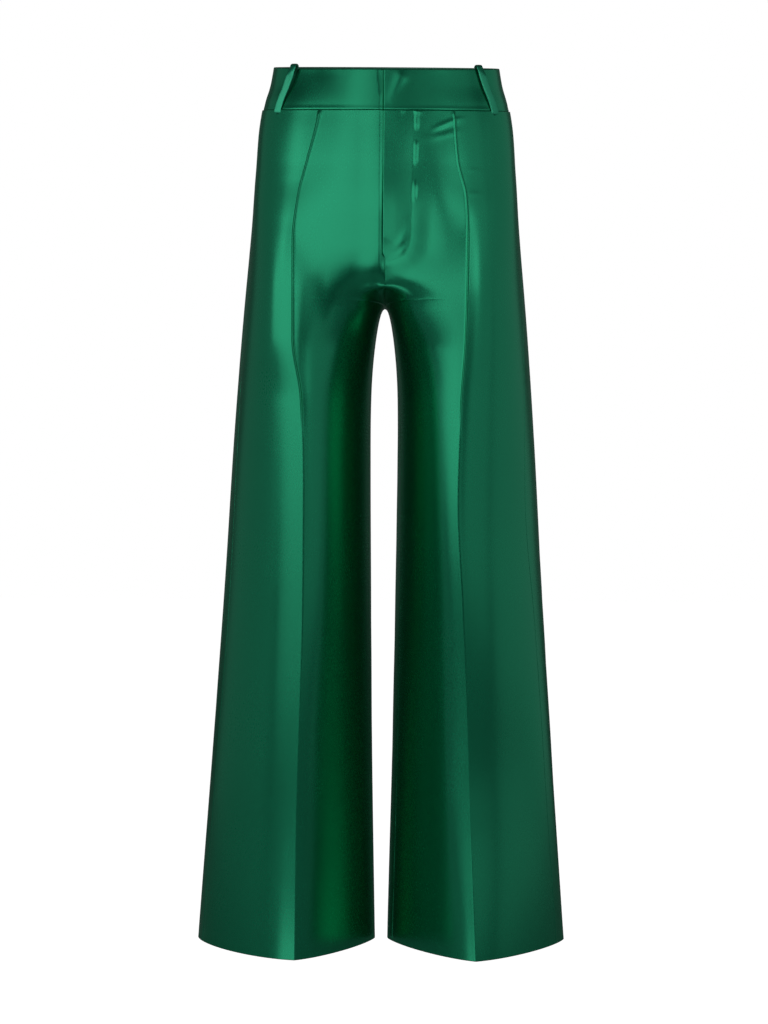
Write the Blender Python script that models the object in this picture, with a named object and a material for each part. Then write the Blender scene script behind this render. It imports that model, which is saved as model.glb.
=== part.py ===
"""High-waisted wide-leg satin trousers in the form they have when worn.

Metres, +Z up. The origin is the middle of the waist, where the wearer holds them.
The front faces -Y and the wearer's left is +X. Each cut piece is one closed cloth wall.

The shape is worked out from horizontal sections. Above the crotch a section is the half
of a rounded hip from the side to the centre line. Below it, it is one whole leg, pressed
to a crease in front and behind. In between the one turns smoothly into the other, while
the inner end of the section runs down the centre seam, round the crotch, to the inseam.
"""
import bpy
import numpy as np
from math import pi

MM = 0.001

# Driving sizes
OUTSEAM = 1.089            # waist edge to hem, down the side
RISE = 0.300               # waist edge to crotch, straight down
BAND_DEPTH = 0.054         # waistband, top edge to waist seam
HEM_Z = -OUTSEAM
CROTCH_Z = -RISE
SEAM_Z = -BAND_DEPTH
WAIST_TILT = 0.207         # the waist is lower in front: rise in z for each metre of y
SEAM_TILT = 0.160          # the same at the waist seam
TILT_END_Z = -0.240        # the tilt has died out here
HIP_TO_LEG = (-0.145, -0.294)   # where the hip section turns into a leg section

# Cloth
HALF_GAP = 0.15 * MM       # half of the gap between two pieces at a seam
CLOTH = 1.2 * MM           # leg panels, with their pressed seam allowances
BAND_CLOTH = 2.0 * MM      # waistband, two layers and a stiffener
LAYER_GAP = 0.3 * MM       # between a piece and what lies behind it
CREASE_RIDGE = 0.9 * MM    # height of the stitched and pressed front crease
BAND_STEP = 1.6 * MM       # the panels stand proud of the band at the side seams
BAND_STEP_END_Z = -0.130   # and run back into the outline here

# Fly and waistband lap, closed left over right
LAP = 3.0 * MM             # the left edge passes the centre line by this much
FLY_END_Z = -0.240         # the lap has ended here
FLY_RECESS = 0.6 * MM      # the stitched fly lies a little lower than the panel round it
BAND_UNDERLAP = 30 * MM    # hidden end of the right half of the waistband
UNDERLAP_RAMP = (14 * MM, 6 * MM)   # it dips under the lap between these, before the centre
SHIELD_SPAN = (-10 * MM, 30 * MM)   # fly shield, from right of the centre to left of it
SHIELD_Z = (-0.058, -0.232)
SHIELD_DROP = 0.7 * MM     # more clearance, because the two legs are not quite alike

# Side-seam pockets
POCKET_TOP_Z = -0.060
POCKET_END_Z = -0.210
POCKET_GAPE = 2.4 * MM     # most that the mouth stands open along the cloth
FACING_CLOTH = 1.0 * MM
FACING_Z = (-0.058, -0.216)
FACING_SPAN = (-14 * MM, 14 * MM)   # along the cloth, in front of and behind the mouth
FACING_DROP = 0.9 * MM     # more clearance behind the panels, whose faces are flat facets

# Belt loops: place as a share of the half width, at the top and at the foot
LOOP_WIDTH = 8 * MM
LOOP_CLOTH = 1.4 * MM
FRONT_LOOP = (0.800, 0.855)
BACK_LOOP = (0.560, 0.580)
# height from the waist edge, middle of the loop's cloth in front of the band's face
LOOP_PROFILE = (
    (-0.0585, 0.0024),
    (-0.0520, 0.0025),
    (-0.0440, 0.0030),
    (-0.0340, 0.0037),
    (-0.0230, 0.0040),
    (-0.0120, 0.0038),
    (-0.0040, 0.0033),
    (0.0010, 0.0024),
    (0.0038, 0.0009),
    (0.0044, -0.0010),
    (0.0032, -0.0027),
    (0.0000, -0.0034),
    (-0.0100, -0.0034),
)
# the loops at the back are sewn to the band's face, just below its edge
BACK_LOOP_PROFILE = (
    (-0.0585, 0.0024),
    (-0.0520, 0.0025),
    (-0.0440, 0.0030),
    (-0.0340, 0.0037),
    (-0.0230, 0.0038),
    (-0.0130, 0.0031),
    (-0.0070, 0.0018),
    (-0.0030, 0.0011),
)

# Crotch arch: half of the gap between the legs is ARCH times the root of the drop
ARCH = 0.0548
UPTURN_FRONT = 0.018       # height over which the centre seam turns up in front
UPTURN_BACK = 0.110        # and behind
TURN_SHARE = 0.985         # how far forward that turn reaches, as a share of the crease
VALLEY = 0.085             # share by which the front draws in at the centre line
VALLEY_Z = (-0.230, -0.300)   # from nothing here to all of it here
SEAT_Y = 0.010             # middle of the crotch and of the inner leg, from front to back

# z, half width over both legs
SIDE_LINE = (
    (0.000, 0.1409),
    (-0.022, 0.1447),
    (-0.046, 0.1514),
    (-0.091, 0.1586),
    (-0.141, 0.1625),
    (-0.191, 0.1656),
    (-0.291, 0.1750),
    (-0.378, 0.1819),
    (-0.478, 0.1888),
    (-0.628, 0.1975),
    (-0.853, 0.2125),
    (-1.089, 0.2295),
)

# z, front depth at the centre line, back depth at the centre line
HIP_DEPTH = (
    (0.000, 0.0970, 0.0970),
    (-0.054, 0.1040, 0.1060),
    (-0.120, 0.1115, 0.1200),
    (-0.200, 0.1170, 0.1290),
    (-0.300, 0.1180, 0.1260),
)

# z, roundness of the hip section in front; 2 is an ellipse, more is flatter
HIP_ROUND = (
    (0.000, 2.25),
    (-0.054, 2.35),
    (-0.120, 2.55),
    (-0.200, 2.90),
    (-0.300, 2.90),
)

# z, front depth at the crease on the right and on the left leg, back depth at the crease,
# roundness on the right and left leg, and in front inside the crease on the right and left leg
LEG_DEPTH = (
    (-0.120, 0.1120, 0.1120, 0.1220, 2.00, 2.00, 2.00, 2.00),
    (-0.200, 0.1160, 0.1160, 0.1270, 2.00, 2.00, 2.20, 2.20),
    (-0.300, 0.1200, 0.1200, 0.1180, 1.95, 1.95, 2.90, 2.90),
    (-0.360, 0.1211, 0.1211, 0.1125, 1.88, 1.86, 2.05, 2.10),
    (-0.420, 0.1220, 0.1220, 0.1090, 1.80, 1.75, 1.66, 1.75),
    (-0.600, 0.1240, 0.1240, 0.1100, 1.65, 1.55, 1.57, 1.55),
    (-0.850, 0.1265, 0.1175, 0.1180, 1.55, 1.42, 1.31, 1.42),
    (-0.930, 0.1272, 0.1200, 0.1200, 1.53, 1.38, 1.31, 1.38),
    (-1.089, 0.1360, 0.1375, 0.1260, 1.50, 1.32, 1.30, 1.32),
)

# z, distance from the centre line of the front crease on the right leg, of the front
# crease on the left leg, and of the back crease on both
CREASE_LINE = (
    (0.000, 0.0760, 0.0770, 0.0700),
    (-0.054, 0.0800, 0.0815, 0.0760),
    (-0.120, 0.0945, 0.0865, 0.0860),
    (-0.170, 0.1050, 0.0965, 0.0930),
    (-0.230, 0.1110, 0.0992, 0.0980),
    (-0.345, 0.1105, 0.0970, 0.1010),
    (-0.420, 0.0997, 0.0922, 0.1010),
    (-0.540, 0.0964, 0.0885, 0.1010),
    (-0.665, 0.0963, 0.0950, 0.1020),
    (-0.800, 0.0990, 0.1018, 0.1050),
    (-0.930, 0.1022, 0.1065, 0.1090),
    (-1.089, 0.1030, 0.1130, 0.1140),
)

# z, widest that the gap between the legs gets, as half widths
LEG_GAP = (
    (-0.300, 0.0180),
    (-0.430, 0.0174),
    (-0.628, 0.0153),
    (-0.853, 0.0124),
    (-1.089, 0.0075),
)
ARCH_BLEND = 8             # how tightly the arch turns into that gap

# z, how far the side seam lies inside the outline on the right and on the left leg,
# how far the inseam lies inside the inner outline on the right and on the left leg
SEAM_INSET = (
    (0.000, 0.0010, 0.0010, 0.0000, 0.0000),
    (-0.060, 0.0010, 0.0010, 0.0000, 0.0000),
    (-0.200, 0.0010, 0.0015, 0.0000, 0.0000),
    (-0.300, 0.0025, 0.0060, 0.0000, 0.0000),
    (-0.440, 0.0070, 0.0140, 0.0018, 0.0030),
    (-0.560, 0.0085, 0.0190, 0.0030, 0.0060),
    (-0.700, 0.0100, 0.0140, 0.0030, 0.0062),
    (-0.850, 0.0085, 0.0125, 0.0030, 0.0062),
    (-1.089, 0.0080, 0.0125, 0.0030, 0.0062),
)

# Rows of the leg panels: evenly spaced above, close together round the crotch, then wider
CROTCH_ROWS = (-0.0015, -0.006, -0.0135, -0.022, -0.042)
HIP_ROWS = 12
LEG_ROWS = 17

# Columns of the panels, as shares of the way from seam to crease and on to the inner edge
FRONT_OUTER = (0.0, 0.10, 0.24, 0.40, 0.57, 0.74, 0.88, 0.965)
FRONT_INNER = (0.0, 0.035, 0.13, 0.26, 0.39, 0.52, 0.66, 0.71, 0.80, 0.90, 1.0)
FLY_SHARE = 0.70           # columns past this share lie inside the fly stitching
BACK_COLUMNS = 17
LEVEL_ROWS = 3.0           # rows from an edge over which the wall's slant turns level
BAND_ROWS = 7
BAND_COLUMNS = 14

SAMPLES = 160              # points worked out along each quarter of a section
SIDES = {"right": -1, "left": 1}

SATIN = (0.004, 0.085, 0.045, 1.0)
SATIN_INSIDE = (0.003, 0.060, 0.032, 1.0)


def smooth(table, column, z):
    """Value of a table's column at the heights z, by a cubic that never overshoots."""
    rows = np.array(table)
    x = -rows[:, 0]
    y = rows[:, column]
    step = np.diff(x)
    rise = np.diff(y) / step
    slope = np.zeros(len(x))
    slope[0] = rise[0]
    slope[-1] = rise[-1]
    before = rise[:-1]
    after = rise[1:]
    same = before * after > 0
    total = np.where(same, before + after, 1.0)
    slope[1:-1] = np.where(same, 2 * before * after / total, 0.0)
    at = np.clip(-np.asarray(z, float), x[0], x[-1])
    i = np.clip(np.searchsorted(x, at, side="right") - 1, 0, len(step) - 1)
    h = step[i]
    t = (at - x[i]) / h
    rest = 1 - t
    ends = y[i] * (1 + 2 * t) * rest ** 2 + y[i + 1] * (3 - 2 * t) * t ** 2
    tangents = h * t * rest * (slope[i] * rest - slope[i + 1] * t)
    return ends + tangents


def ease(value, start, end):
    """0 at start, 1 at end, level at both."""
    t = np.clip((value - start) / (end - start), 0.0, 1.0)
    return t * t * (3 - 2 * t)


def power_arc(angle, roundness):
    """Cosine and sine along a quarter superellipse; roundness 2 is an ellipse."""
    cosine = np.clip(np.cos(angle), 0.0, 1.0) ** (2 / roundness)
    sine = np.clip(np.sin(angle), 0.0, 1.0) ** (2 / roundness)
    return cosine, sine


def leg_gap(z):
    """Half of the gap between the legs: the arch at the crotch, then the gap below."""
    arch = ARCH * np.sqrt(np.maximum(CROTCH_Z - z, 0.0))
    widest = smooth(LEG_GAP, 1, z)
    gap = arch / (1 + (arch / widest) ** ARCH_BLEND) ** (1 / ARCH_BLEND)
    return np.maximum(gap, HALF_GAP)


def outline_x(z):
    """Half width over both legs, with the step out from the waistband to the panels."""
    step = BAND_STEP * (z < SEAM_Z) * (1 - ease(z, SEAM_Z, BAND_STEP_END_Z))
    return smooth(SIDE_LINE, 1, z) + step


def crease_x(z, side, face):
    """Distance of the crease from the centre line."""
    if face == "back":
        return smooth(CREASE_LINE, 3, z)
    return smooth(CREASE_LINE, 1 if side == "right" else 2, z)


def half_section(z, side, face):
    """One quarter of the figure at the heights z: x and depth from the widest point,
    over the crease, to the centre line or the inner leg. Depth is -y in front, y behind.
    The sample at SAMPLES - 1 lies on the crease."""
    z = np.asarray(z, float)[:, None]
    forward = 1 if face == "front" else -1
    wide = outline_x(z)
    crease = crease_x(z, side, face)
    centre_depth = smooth(HIP_DEPTH, 1 if face == "front" else 2, z)
    right = side == "right"
    leg_depth = smooth(LEG_DEPTH, (1 if right else 2) if face == "front" else 3, z)
    outer_round = smooth(LEG_DEPTH, 4 if right else 5, z)
    inner_round = outer_round
    if face == "front":
        inner_round = smooth(LEG_DEPTH, 6 if right else 7, z)
    hip_round = smooth(HIP_ROUND, 1, z) if face == "front" else np.full_like(z, 2.0)
    mix = ease(z, *HIP_TO_LEG)
    mid_depth = -forward * SEAT_Y

    share = np.linspace(0.0, 1.0, SAMPLES)[None, :]

    # hip: a superellipse round the whole body
    crease_angle = np.arccos((crease / wide) ** (hip_round / 2))
    outer_angle = crease_angle * share
    inner_angle = crease_angle + (pi / 2 - crease_angle) * share
    hip_cosine, hip_sine = power_arc(np.concatenate([outer_angle, inner_angle[:, 1:]], axis=1),
                                     hip_round)
    hip_x = wide * hip_cosine
    hip_d = centre_depth * hip_sine

    # leg: a superellipse round each leg, its inner quarter cut off at the centre line
    upturn = UPTURN_FRONT if face == "front" else UPTURN_BACK
    climb = np.clip((z - CROTCH_Z) / upturn, 0.0, 1.0)
    reach = TURN_SHARE * np.sqrt(1 - (1 - climb) ** 2)
    if face == "front":
        drawn_in = np.clip((z - VALLEY_Z[0]) / (VALLEY_Z[1] - VALLEY_Z[0]), 0.0, 1.0)
        reach = reach * (1 - VALLEY * drawn_in)
    end_angle = np.arcsin(reach ** (inner_round / 2))
    end_cosine = np.cos(end_angle) ** (2 / inner_round)
    inner_reach = (crease - leg_gap(z)) / end_cosine
    outer_cosine, outer_sine = power_arc(pi / 2 * share, outer_round)
    inner_angle = pi / 2 + (end_angle - pi / 2) * share
    inner_cosine, inner_sine = power_arc(inner_angle, inner_round)
    leg_x = np.concatenate([crease + (wide - crease) * outer_cosine,
                            (crease - inner_reach * inner_cosine)[:, 1:]], axis=1)
    leg_sine = np.concatenate([outer_sine, inner_sine[:, 1:]], axis=1)
    leg_d = mid_depth + (leg_depth - mid_depth) * leg_sine

    x = (1 - mix) * hip_x + mix * leg_x
    depth = (1 - mix) * hip_d + mix * leg_d
    return np.maximum(x, HALF_GAP), -forward * depth


def run_length(x, y):
    """Length along each row of points, from its start."""
    steps = np.hypot(np.diff(x, axis=1), np.diff(y, axis=1))
    return np.concatenate([np.zeros((len(x), 1)), np.cumsum(steps, axis=1)], axis=1)


def resample(x, y, along, wanted):
    """Points of each row at the wanted lengths along it."""
    new_x = np.array([np.interp(w, s, row) for w, s, row in zip(wanted, along, x)])
    new_y = np.array([np.interp(w, s, row) for w, s, row in zip(wanted, along, y)])
    return new_x, new_y


def side_seam(z, side, x, along):
    """Length from the widest point forward to the side seam, at its inset in front view."""
    inset = smooth(SEAM_INSET, 1 if side == "right" else 2, z)
    target = x[:, 0] - inset
    outer = slice(SAMPLES - 1, None, -1)
    return np.array([np.interp(t, row[outer], s[outer])
                     for t, row, s in zip(target, x, along)])


def inseam(z, side, x, along):
    """Length from the innermost point forward to the inseam; 0 above the crotch."""
    inset = smooth(SEAM_INSET, 3 if side == "right" else 4, z)
    target = x[:, -1] + inset
    inner = slice(None, SAMPLES - 1, -1)
    found = np.array([s[-1] - np.interp(t, row[inner], s[inner])
                      for t, row, s in zip(target, x, along)])
    return np.where(z < CROTCH_Z, found, 0.0)


def centre_trim(z):
    """Gap left at the inner end: along the cloth at the inseam, in x on the centre line."""
    return np.where(z <= CROTCH_Z + 0.01 * MM, HALF_GAP, 0.0)


def stand(x, y, z, side):
    """Grid of points from sections, with the waist tilted down to the front."""
    z = np.broadcast_to(np.asarray(z, float)[:, None], x.shape)
    tilt = WAIST_TILT + (SEAM_TILT - WAIST_TILT) * np.clip(z / SEAM_Z, 0.0, 1.0)
    tilt = tilt * (1 - ease(z, SEAM_Z, TILT_END_Z))
    return np.stack([SIDES[side] * x, y, z + tilt * y], axis=2)


def outward(grid):
    """Unit normals of a grid that stands round the body, pointing away from it. They turn
    level towards the top and bottom rows, so that those edges stay level."""
    across = np.gradient(grid, axis=1, edge_order=2)
    down = np.gradient(grid, axis=0)
    normal = np.cross(across, down)
    rows = np.arange(len(grid))
    lean = np.minimum(np.minimum(rows, rows[::-1]) / LEVEL_ROWS, 1.0)
    normal[:, :, 2] *= lean[:, None]
    normal /= np.linalg.norm(normal, axis=2, keepdims=True)
    middle = grid[0].mean(axis=0)
    middle[1] = 0.0
    facing = np.sum(normal[0] * (grid[0] - middle))
    return normal if facing > 0 else -normal


def wall(name, outer, inner, colour=SATIN):
    """Closed cloth wall between two grids of the same size, as one named object."""
    rows, columns = outer.shape[:2]
    count = rows * columns
    points = np.concatenate([outer.reshape(-1, 3), inner.reshape(-1, 3)])
    index = np.arange(count).reshape(rows, columns)

    def quads(a, b, c, d):
        return np.stack([a, b, c, d], axis=-1).reshape(-1, 4)

    sheet = quads(index[:-1, :-1], index[1:, :-1], index[1:, 1:], index[:-1, 1:])
    faces = [sheet, sheet[:, ::-1] + count]
    rims = (index[:, 0][::-1], index[:, -1], index[0], index[-1][::-1])
    for rim in rims:
        faces.append(quads(rim[:-1], rim[1:], rim[1:] + count, rim[:-1] + count))
    faces = np.concatenate(faces)
    fan = points[faces]
    volume = (np.einsum("ij,ij->", fan[:, 0], np.cross(fan[:, 1], fan[:, 2]))
              + np.einsum("ij,ij->", fan[:, 0], np.cross(fan[:, 2], fan[:, 3])))
    if volume < 0:
        faces = faces[:, ::-1]
    mesh = bpy.data.meshes.new(name)
    mesh.from_pydata(points.tolist(), [], faces.tolist())
    mesh.shade_smooth()
    mesh.set_sharp_from_angle(angle=pi / 4)
    mesh.validate()
    piece = bpy.data.objects.new(name, mesh)
    bpy.context.scene.collection.objects.link(piece)
    finish(piece, colour)
    return piece


def finish(piece, colour):
    """Each piece has its own satin."""
    material = bpy.data.materials.new(piece.name + "_satin")
    material.use_nodes = True
    shader = material.node_tree.nodes["Principled BSDF"]
    shader.inputs["Base Color"].default_value = colour
    shader.inputs["Roughness"].default_value = 0.34
    shader.inputs["Metallic"].default_value = 0.0
    piece.data.materials.append(material)


def panel_rows():
    """Heights of the leg panels' rows, from the waist seam to the hem."""
    close = np.array(CROTCH_ROWS)
    hip = np.linspace(SEAM_Z - HALF_GAP, CROTCH_Z - close[-1], HIP_ROWS, endpoint=False)
    leg = np.linspace(CROTCH_Z + close[-1], HEM_Z, LEG_ROWS + 1)[1:]
    return np.concatenate([hip, CROTCH_Z - close[::-1], [CROTCH_Z], CROTCH_Z + close, leg])


def pocket_mouth(z):
    """Opening of the pocket mouth along the cloth: widest near its top."""
    share = np.clip((POCKET_TOP_Z - z) / (POCKET_TOP_Z - POCKET_END_Z), 0.0, 1.0)
    return POCKET_GAPE * np.sin(pi * np.sqrt(share)) ** 2


def front_panel(side):
    """Front panel from the side seam over the crease to the centre seam and inseam."""
    z = panel_rows()
    x, y = half_section(z, side, "front")
    along = run_length(x, y)
    start = side_seam(z, side, x, along) + HALF_GAP + pocket_mouth(z)
    crease = along[:, SAMPLES - 1]
    end = along[:, -1] - inseam(z, side, x, along) - centre_trim(z)
    outer = start[:, None] + np.outer(crease - start, FRONT_OUTER)
    inner = crease[:, None] + np.outer(end - crease, FRONT_INNER)
    px, py = resample(x, y, along, np.concatenate([outer, inner], axis=1))
    grid = stand(px, py, z, side)
    normal = outward(grid)

    share = np.concatenate([np.full(len(FRONT_OUTER), -1.0), FRONT_INNER])[None, :]
    in_fly = ease(z, FLY_END_Z - 0.018, FLY_END_Z)[:, None]
    lift = np.where(share == 0.0, CREASE_RIDGE, 0.0) * np.ones((len(z), 1))
    if side == "left":
        lift = lift - FLY_RECESS * in_fly * (share >= FLY_SHARE)
    else:
        under = FLY_RECESS + CLOTH + LAYER_GAP
        lift = lift - under * in_fly * ease(share, FRONT_INNER[-3], FRONT_INNER[-2])
    grid = grid + normal * lift[:, :, None]
    if side == "left":
        lapped = ease(z, FLY_END_Z, FLY_END_Z + 0.012)
        grid[:, -1, 0] -= LAP * lapped
    return wall("front_" + side, grid, grid - normal * CLOTH)


def back_panel(side):
    """Back panel from the side seam, round the back of the leg, to the inseam."""
    z = panel_rows()
    front_x, front_y = half_section(z, side, "front")
    front_along = run_length(front_x, front_y)
    back_x, back_y = half_section(z, side, "back")
    seam = side_seam(z, side, front_x, front_along)
    tuck = inseam(z, side, front_x, front_along)
    x = np.concatenate([front_x[:, SAMPLES - 1:0:-1], back_x, front_x[:, :SAMPLES - 1:-1]],
                       axis=1)
    y = np.concatenate([front_y[:, SAMPLES - 1:0:-1], back_y, front_y[:, :SAMPLES - 1:-1]],
                       axis=1)
    along = run_length(x, y)
    widest = along[:, SAMPLES - 1]
    innermost = along[:, SAMPLES - 1 + 2 * SAMPLES - 2]
    start = widest - seam + HALF_GAP
    end = innermost + tuck - centre_trim(z)
    shares = np.linspace(0.0, 1.0, BACK_COLUMNS)
    px, py = resample(x, y, along, start[:, None] + np.outer(end - start, shares))
    grid = stand(px, py, z, side)
    normal = outward(grid)
    return wall("back_" + side, grid, grid - normal * CLOTH)


def ring_from_front(z, side):
    """Points from the front centre line, round the side, to the back centre line, the
    length along each row and the length at the side seam."""
    front_x, front_y = half_section(z, side, "front")
    back_x, back_y = half_section(z, side, "back")
    seam = side_seam(z, side, front_x, run_length(front_x, front_y))
    x = np.concatenate([front_x[:, :0:-1], back_x], axis=1)
    y = np.concatenate([front_y[:, :0:-1], back_y], axis=1)
    along = run_length(x, y)
    return x, y, along, along[:, front_x.shape[1] - 1] - seam


def past_centre(x, y):
    """Rows of points that end on the centre line, carried on to the other side."""
    return (np.concatenate([x, -x[:, -2::-1]], axis=1),
            np.concatenate([y, y[:, -2::-1]], axis=1))


def band_rows():
    return np.linspace(0.0, SEAM_Z + HALF_GAP, BAND_ROWS)


def front_band(side):
    """Half of the front waistband: the left one laps over, the right one runs under it."""
    z = band_rows()
    x, y = half_section(z, side, "front")
    centre = run_length(x, y)[:, -1]
    x, y = past_centre(x, y)
    along = run_length(x, y)
    start = side_seam(z, side, x[:, :2 * SAMPLES - 1], along[:, :2 * SAMPLES - 1]) + HALF_GAP
    if side == "left":
        stops = [centre + LAP]
        sunk = [0.0]
    else:
        stops = [centre - UNDERLAP_RAMP[0], centre - UNDERLAP_RAMP[1], centre + LAP,
                 centre + BAND_UNDERLAP / 2, centre + BAND_UNDERLAP]
        sunk = [0.0] + [BAND_CLOTH + LAYER_GAP] * 4
    even = np.linspace(0.0, 1.0, BAND_COLUMNS)[None, :-1]
    wanted = start[:, None] + (stops[0] - start)[:, None] * even
    wanted = np.concatenate([wanted, np.stack(stops, axis=1)], axis=1)
    grid = stand(*resample(x, y, along, wanted), z, side)
    normal = level_outward(grid)
    drop = np.concatenate([np.zeros(BAND_COLUMNS - 1), sunk])
    grid = grid - normal * drop[None, :, None]
    wall("waistband_front_" + side, grid, grid - normal * BAND_CLOTH)


def back_band():
    """Back waistband in one piece, from side seam to side seam."""
    z = band_rows()
    x, y, along, seam = ring_from_front(z, "left")
    shares = np.linspace(0.0, 1.0, BAND_COLUMNS)
    start = seam + HALF_GAP
    wanted = start[:, None] + np.outer(along[:, -1] - start, shares)
    px, py = resample(x, y, along, wanted)
    px[:, -1] = 0.0
    half = stand(px, py, z, "left")
    other = half[:, -2::-1] * np.array([-1.0, 1.0, 1.0])
    grid = np.concatenate([half, other], axis=1)
    wall("waistband_back", grid, grid - level_outward(grid) * BAND_CLOTH)


def level_outward(grid):
    """Horizontal unit normals, so that the top and bottom edges stay level."""
    normal = outward(grid)
    normal[:, :, 2] = 0.0
    return normal / np.linalg.norm(normal, axis=2, keepdims=True)


def fly_shield():
    """Plain strip behind the lap, under both front panels."""
    z = np.linspace(*SHIELD_Z, 9)
    x, y = half_section(z, "left", "front")
    columns = np.linspace(*SHIELD_SPAN, 6)
    py = np.array([np.interp(np.abs(columns), row_x[::-1], row_y[::-1])
                   for row_x, row_y in zip(x, y)])
    px = np.broadcast_to(columns, py.shape)
    grid = stand(px, py, z, "left")
    normal = level_outward(grid)
    grid = grid - normal * (FLY_RECESS + 2 * (CLOTH + LAYER_GAP) + SHIELD_DROP)
    wall("fly_shield", grid, grid - normal * CLOTH, SATIN_INSIDE)


def pocket_facing(side):
    """Strip behind the side-seam pocket mouth, so that the cloth shows through the gape."""
    z = np.linspace(*FACING_Z, 9)
    x, y, along, seam = ring_from_front(z, side)
    wanted = seam[:, None] + np.linspace(*FACING_SPAN, 5)[None, :]
    grid = stand(*resample(x, y, along, wanted), z, side)
    normal = level_outward(grid)
    grid = grid - normal * (CLOTH + LAYER_GAP + FACING_DROP)
    wall("pocket_facing_" + side, grid, grid - normal * FACING_CLOTH, SATIN_INSIDE)


def belt_loop(name, face, top_share, foot_share):
    """Loop from below the waist seam, off the band, and in front over its edge and down
    inside. The shares are signed: minus is on the wearer's right."""
    forward = -1 if face == "front" else 1
    height, off = np.array(LOOP_PROFILE if face == "front" else BACK_LOOP_PROFILE).T
    slope = np.stack([np.gradient(height), np.gradient(off)])
    slope /= np.linalg.norm(slope, axis=0)
    on_band = np.clip(height, SEAM_Z, 0.0)
    share = top_share + (foot_share - top_share) * on_band / SEAM_Z
    wide = outline_x(on_band)
    deep = smooth(HIP_DEPTH, 1 if face == "front" else 2, on_band)
    power = smooth(HIP_ROUND, 1, on_band) if face == "front" else np.full_like(deep, 2.0)
    drop = (1 - np.abs(share) ** power) ** (1 / power)
    base = np.stack([wide * share, forward * deep * drop], axis=1)
    normal = np.stack([np.sign(share) * np.abs(share) ** (power - 1) / wide,
                       forward * drop ** (power - 1) / deep], axis=1)
    normal /= np.linalg.norm(normal, axis=1, keepdims=True)
    across = np.stack([-normal[:, 1], normal[:, 0]], axis=1)

    def face_grid(shift):
        """Both edges of the loop's cloth, shifted off its middle."""
        out = (off + shift * slope[0])[:, None] * normal
        up = height - shift * slope[1]
        edges = []
        for edge in (-LOOP_WIDTH / 2, 0.0, LOOP_WIDTH / 2):
            flat = base + out + edge * across
            tilt = WAIST_TILT + (SEAM_TILT - WAIST_TILT) * on_band / SEAM_Z
            edges.append(np.column_stack([flat, up + tilt * flat[:, 1]]))
        return np.stack(edges, axis=1)

    wall(name, face_grid(LOOP_CLOTH / 2), face_grid(-LOOP_CLOTH / 2))


def main():
    for old in list(bpy.data.objects):
        bpy.data.objects.remove(old, do_unlink=True)
    back_band()
    fly_shield()
    for side, sign in SIDES.items():
        front_band(side)
        front_panel(side)
        back_panel(side)
        pocket_facing(side)
        belt_loop("belt_loop_front_" + side, "front", sign * FRONT_LOOP[0], sign * FRONT_LOOP[1])
        belt_loop("belt_loop_back_" + side, "back", sign * BACK_LOOP[0], sign * BACK_LOOP[1])
    belt_loop("belt_loop_back_centre", "back", 0.0, 0.0)


main()
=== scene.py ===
# %% [markdown]
# # High-waisted wide-leg trousers in heavy green satin
# Trousers are cut flat and sewn into tubes, so this lesson builds them piece by piece: four leg
# panels, a waistband in three parts, belt loops, a fly and two side-seam pockets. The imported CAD
# model is loaded first and stays as it is. Every piece of cloth made here stands for one of its
# solids and rides on the same body, so nothing has to be fitted afterwards.

# %% Load the frame
from math import pi, radians

import bpy
import numpy as np
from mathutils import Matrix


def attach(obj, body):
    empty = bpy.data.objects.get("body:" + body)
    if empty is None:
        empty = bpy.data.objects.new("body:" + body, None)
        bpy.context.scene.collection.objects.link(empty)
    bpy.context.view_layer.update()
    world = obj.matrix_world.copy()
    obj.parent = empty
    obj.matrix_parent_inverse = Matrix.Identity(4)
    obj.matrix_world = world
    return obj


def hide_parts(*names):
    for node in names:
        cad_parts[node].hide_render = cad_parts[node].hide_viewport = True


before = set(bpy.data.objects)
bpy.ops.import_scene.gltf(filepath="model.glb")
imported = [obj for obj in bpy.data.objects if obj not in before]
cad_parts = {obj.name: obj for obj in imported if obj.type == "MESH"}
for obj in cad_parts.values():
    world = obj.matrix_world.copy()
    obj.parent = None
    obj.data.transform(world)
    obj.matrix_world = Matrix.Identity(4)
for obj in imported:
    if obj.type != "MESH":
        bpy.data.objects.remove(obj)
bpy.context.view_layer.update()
MM = 0.001

# %% [markdown]
# ## The form, from horizontal sections
# The worn form could be sculpted or simulated. Here it is read from a few tables instead,
# nearly the same ones that the solids were made from, so that the cloth lies within 6 mm of
# them. At each height the tables give the width, the depth and where the crease lies.

# %% Sizes
OUTSEAM = 1.089
HEM_Z = -OUTSEAM
CROTCH_Z = -0.300
BAND_DEPTH = 0.054
SEAM_Z = -BAND_DEPTH
WAIST_TILT = 0.207              # the waist is lower in front
SEAM_TILT = 0.160               # and so is the waist seam
TILT_END_Z = -0.240
HIP_TO_LEG = (-0.145, -0.294)   # where the hip's section turns into a leg's
HALF_GAP = 0.003 * MM           # sewn pieces meet, with hardly a hair between them
BAND_STEP = 1.6 * MM            # the panels stand proud of the band at the sides
BAND_STEP_END_Z = -0.130
ARCH = 0.0548                   # the crotch is an arch: half gap = ARCH * root of the drop
ARCH_BLEND = 8                  # power that joins the arch to the gap between the legs
UPTURN = {"front": 0.018, "back": 0.110}   # at the crotch a face rounds under over this height
TURN_SHARE = 0.985              # and above it has this share of its depth
EARLY_TURN = {"right": 0.050, "left": 0.034}   # beside the centre the front rounds under sooner
CENTRE_TURN = 12                # power that keeps the later turn near the centre line
VALLEY = (0.052, -0.236, -0.300)   # share by which the front draws in at the centre, from, to
SEAT_Y = 0.010                  # y of the plane between a leg's front and its back

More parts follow.
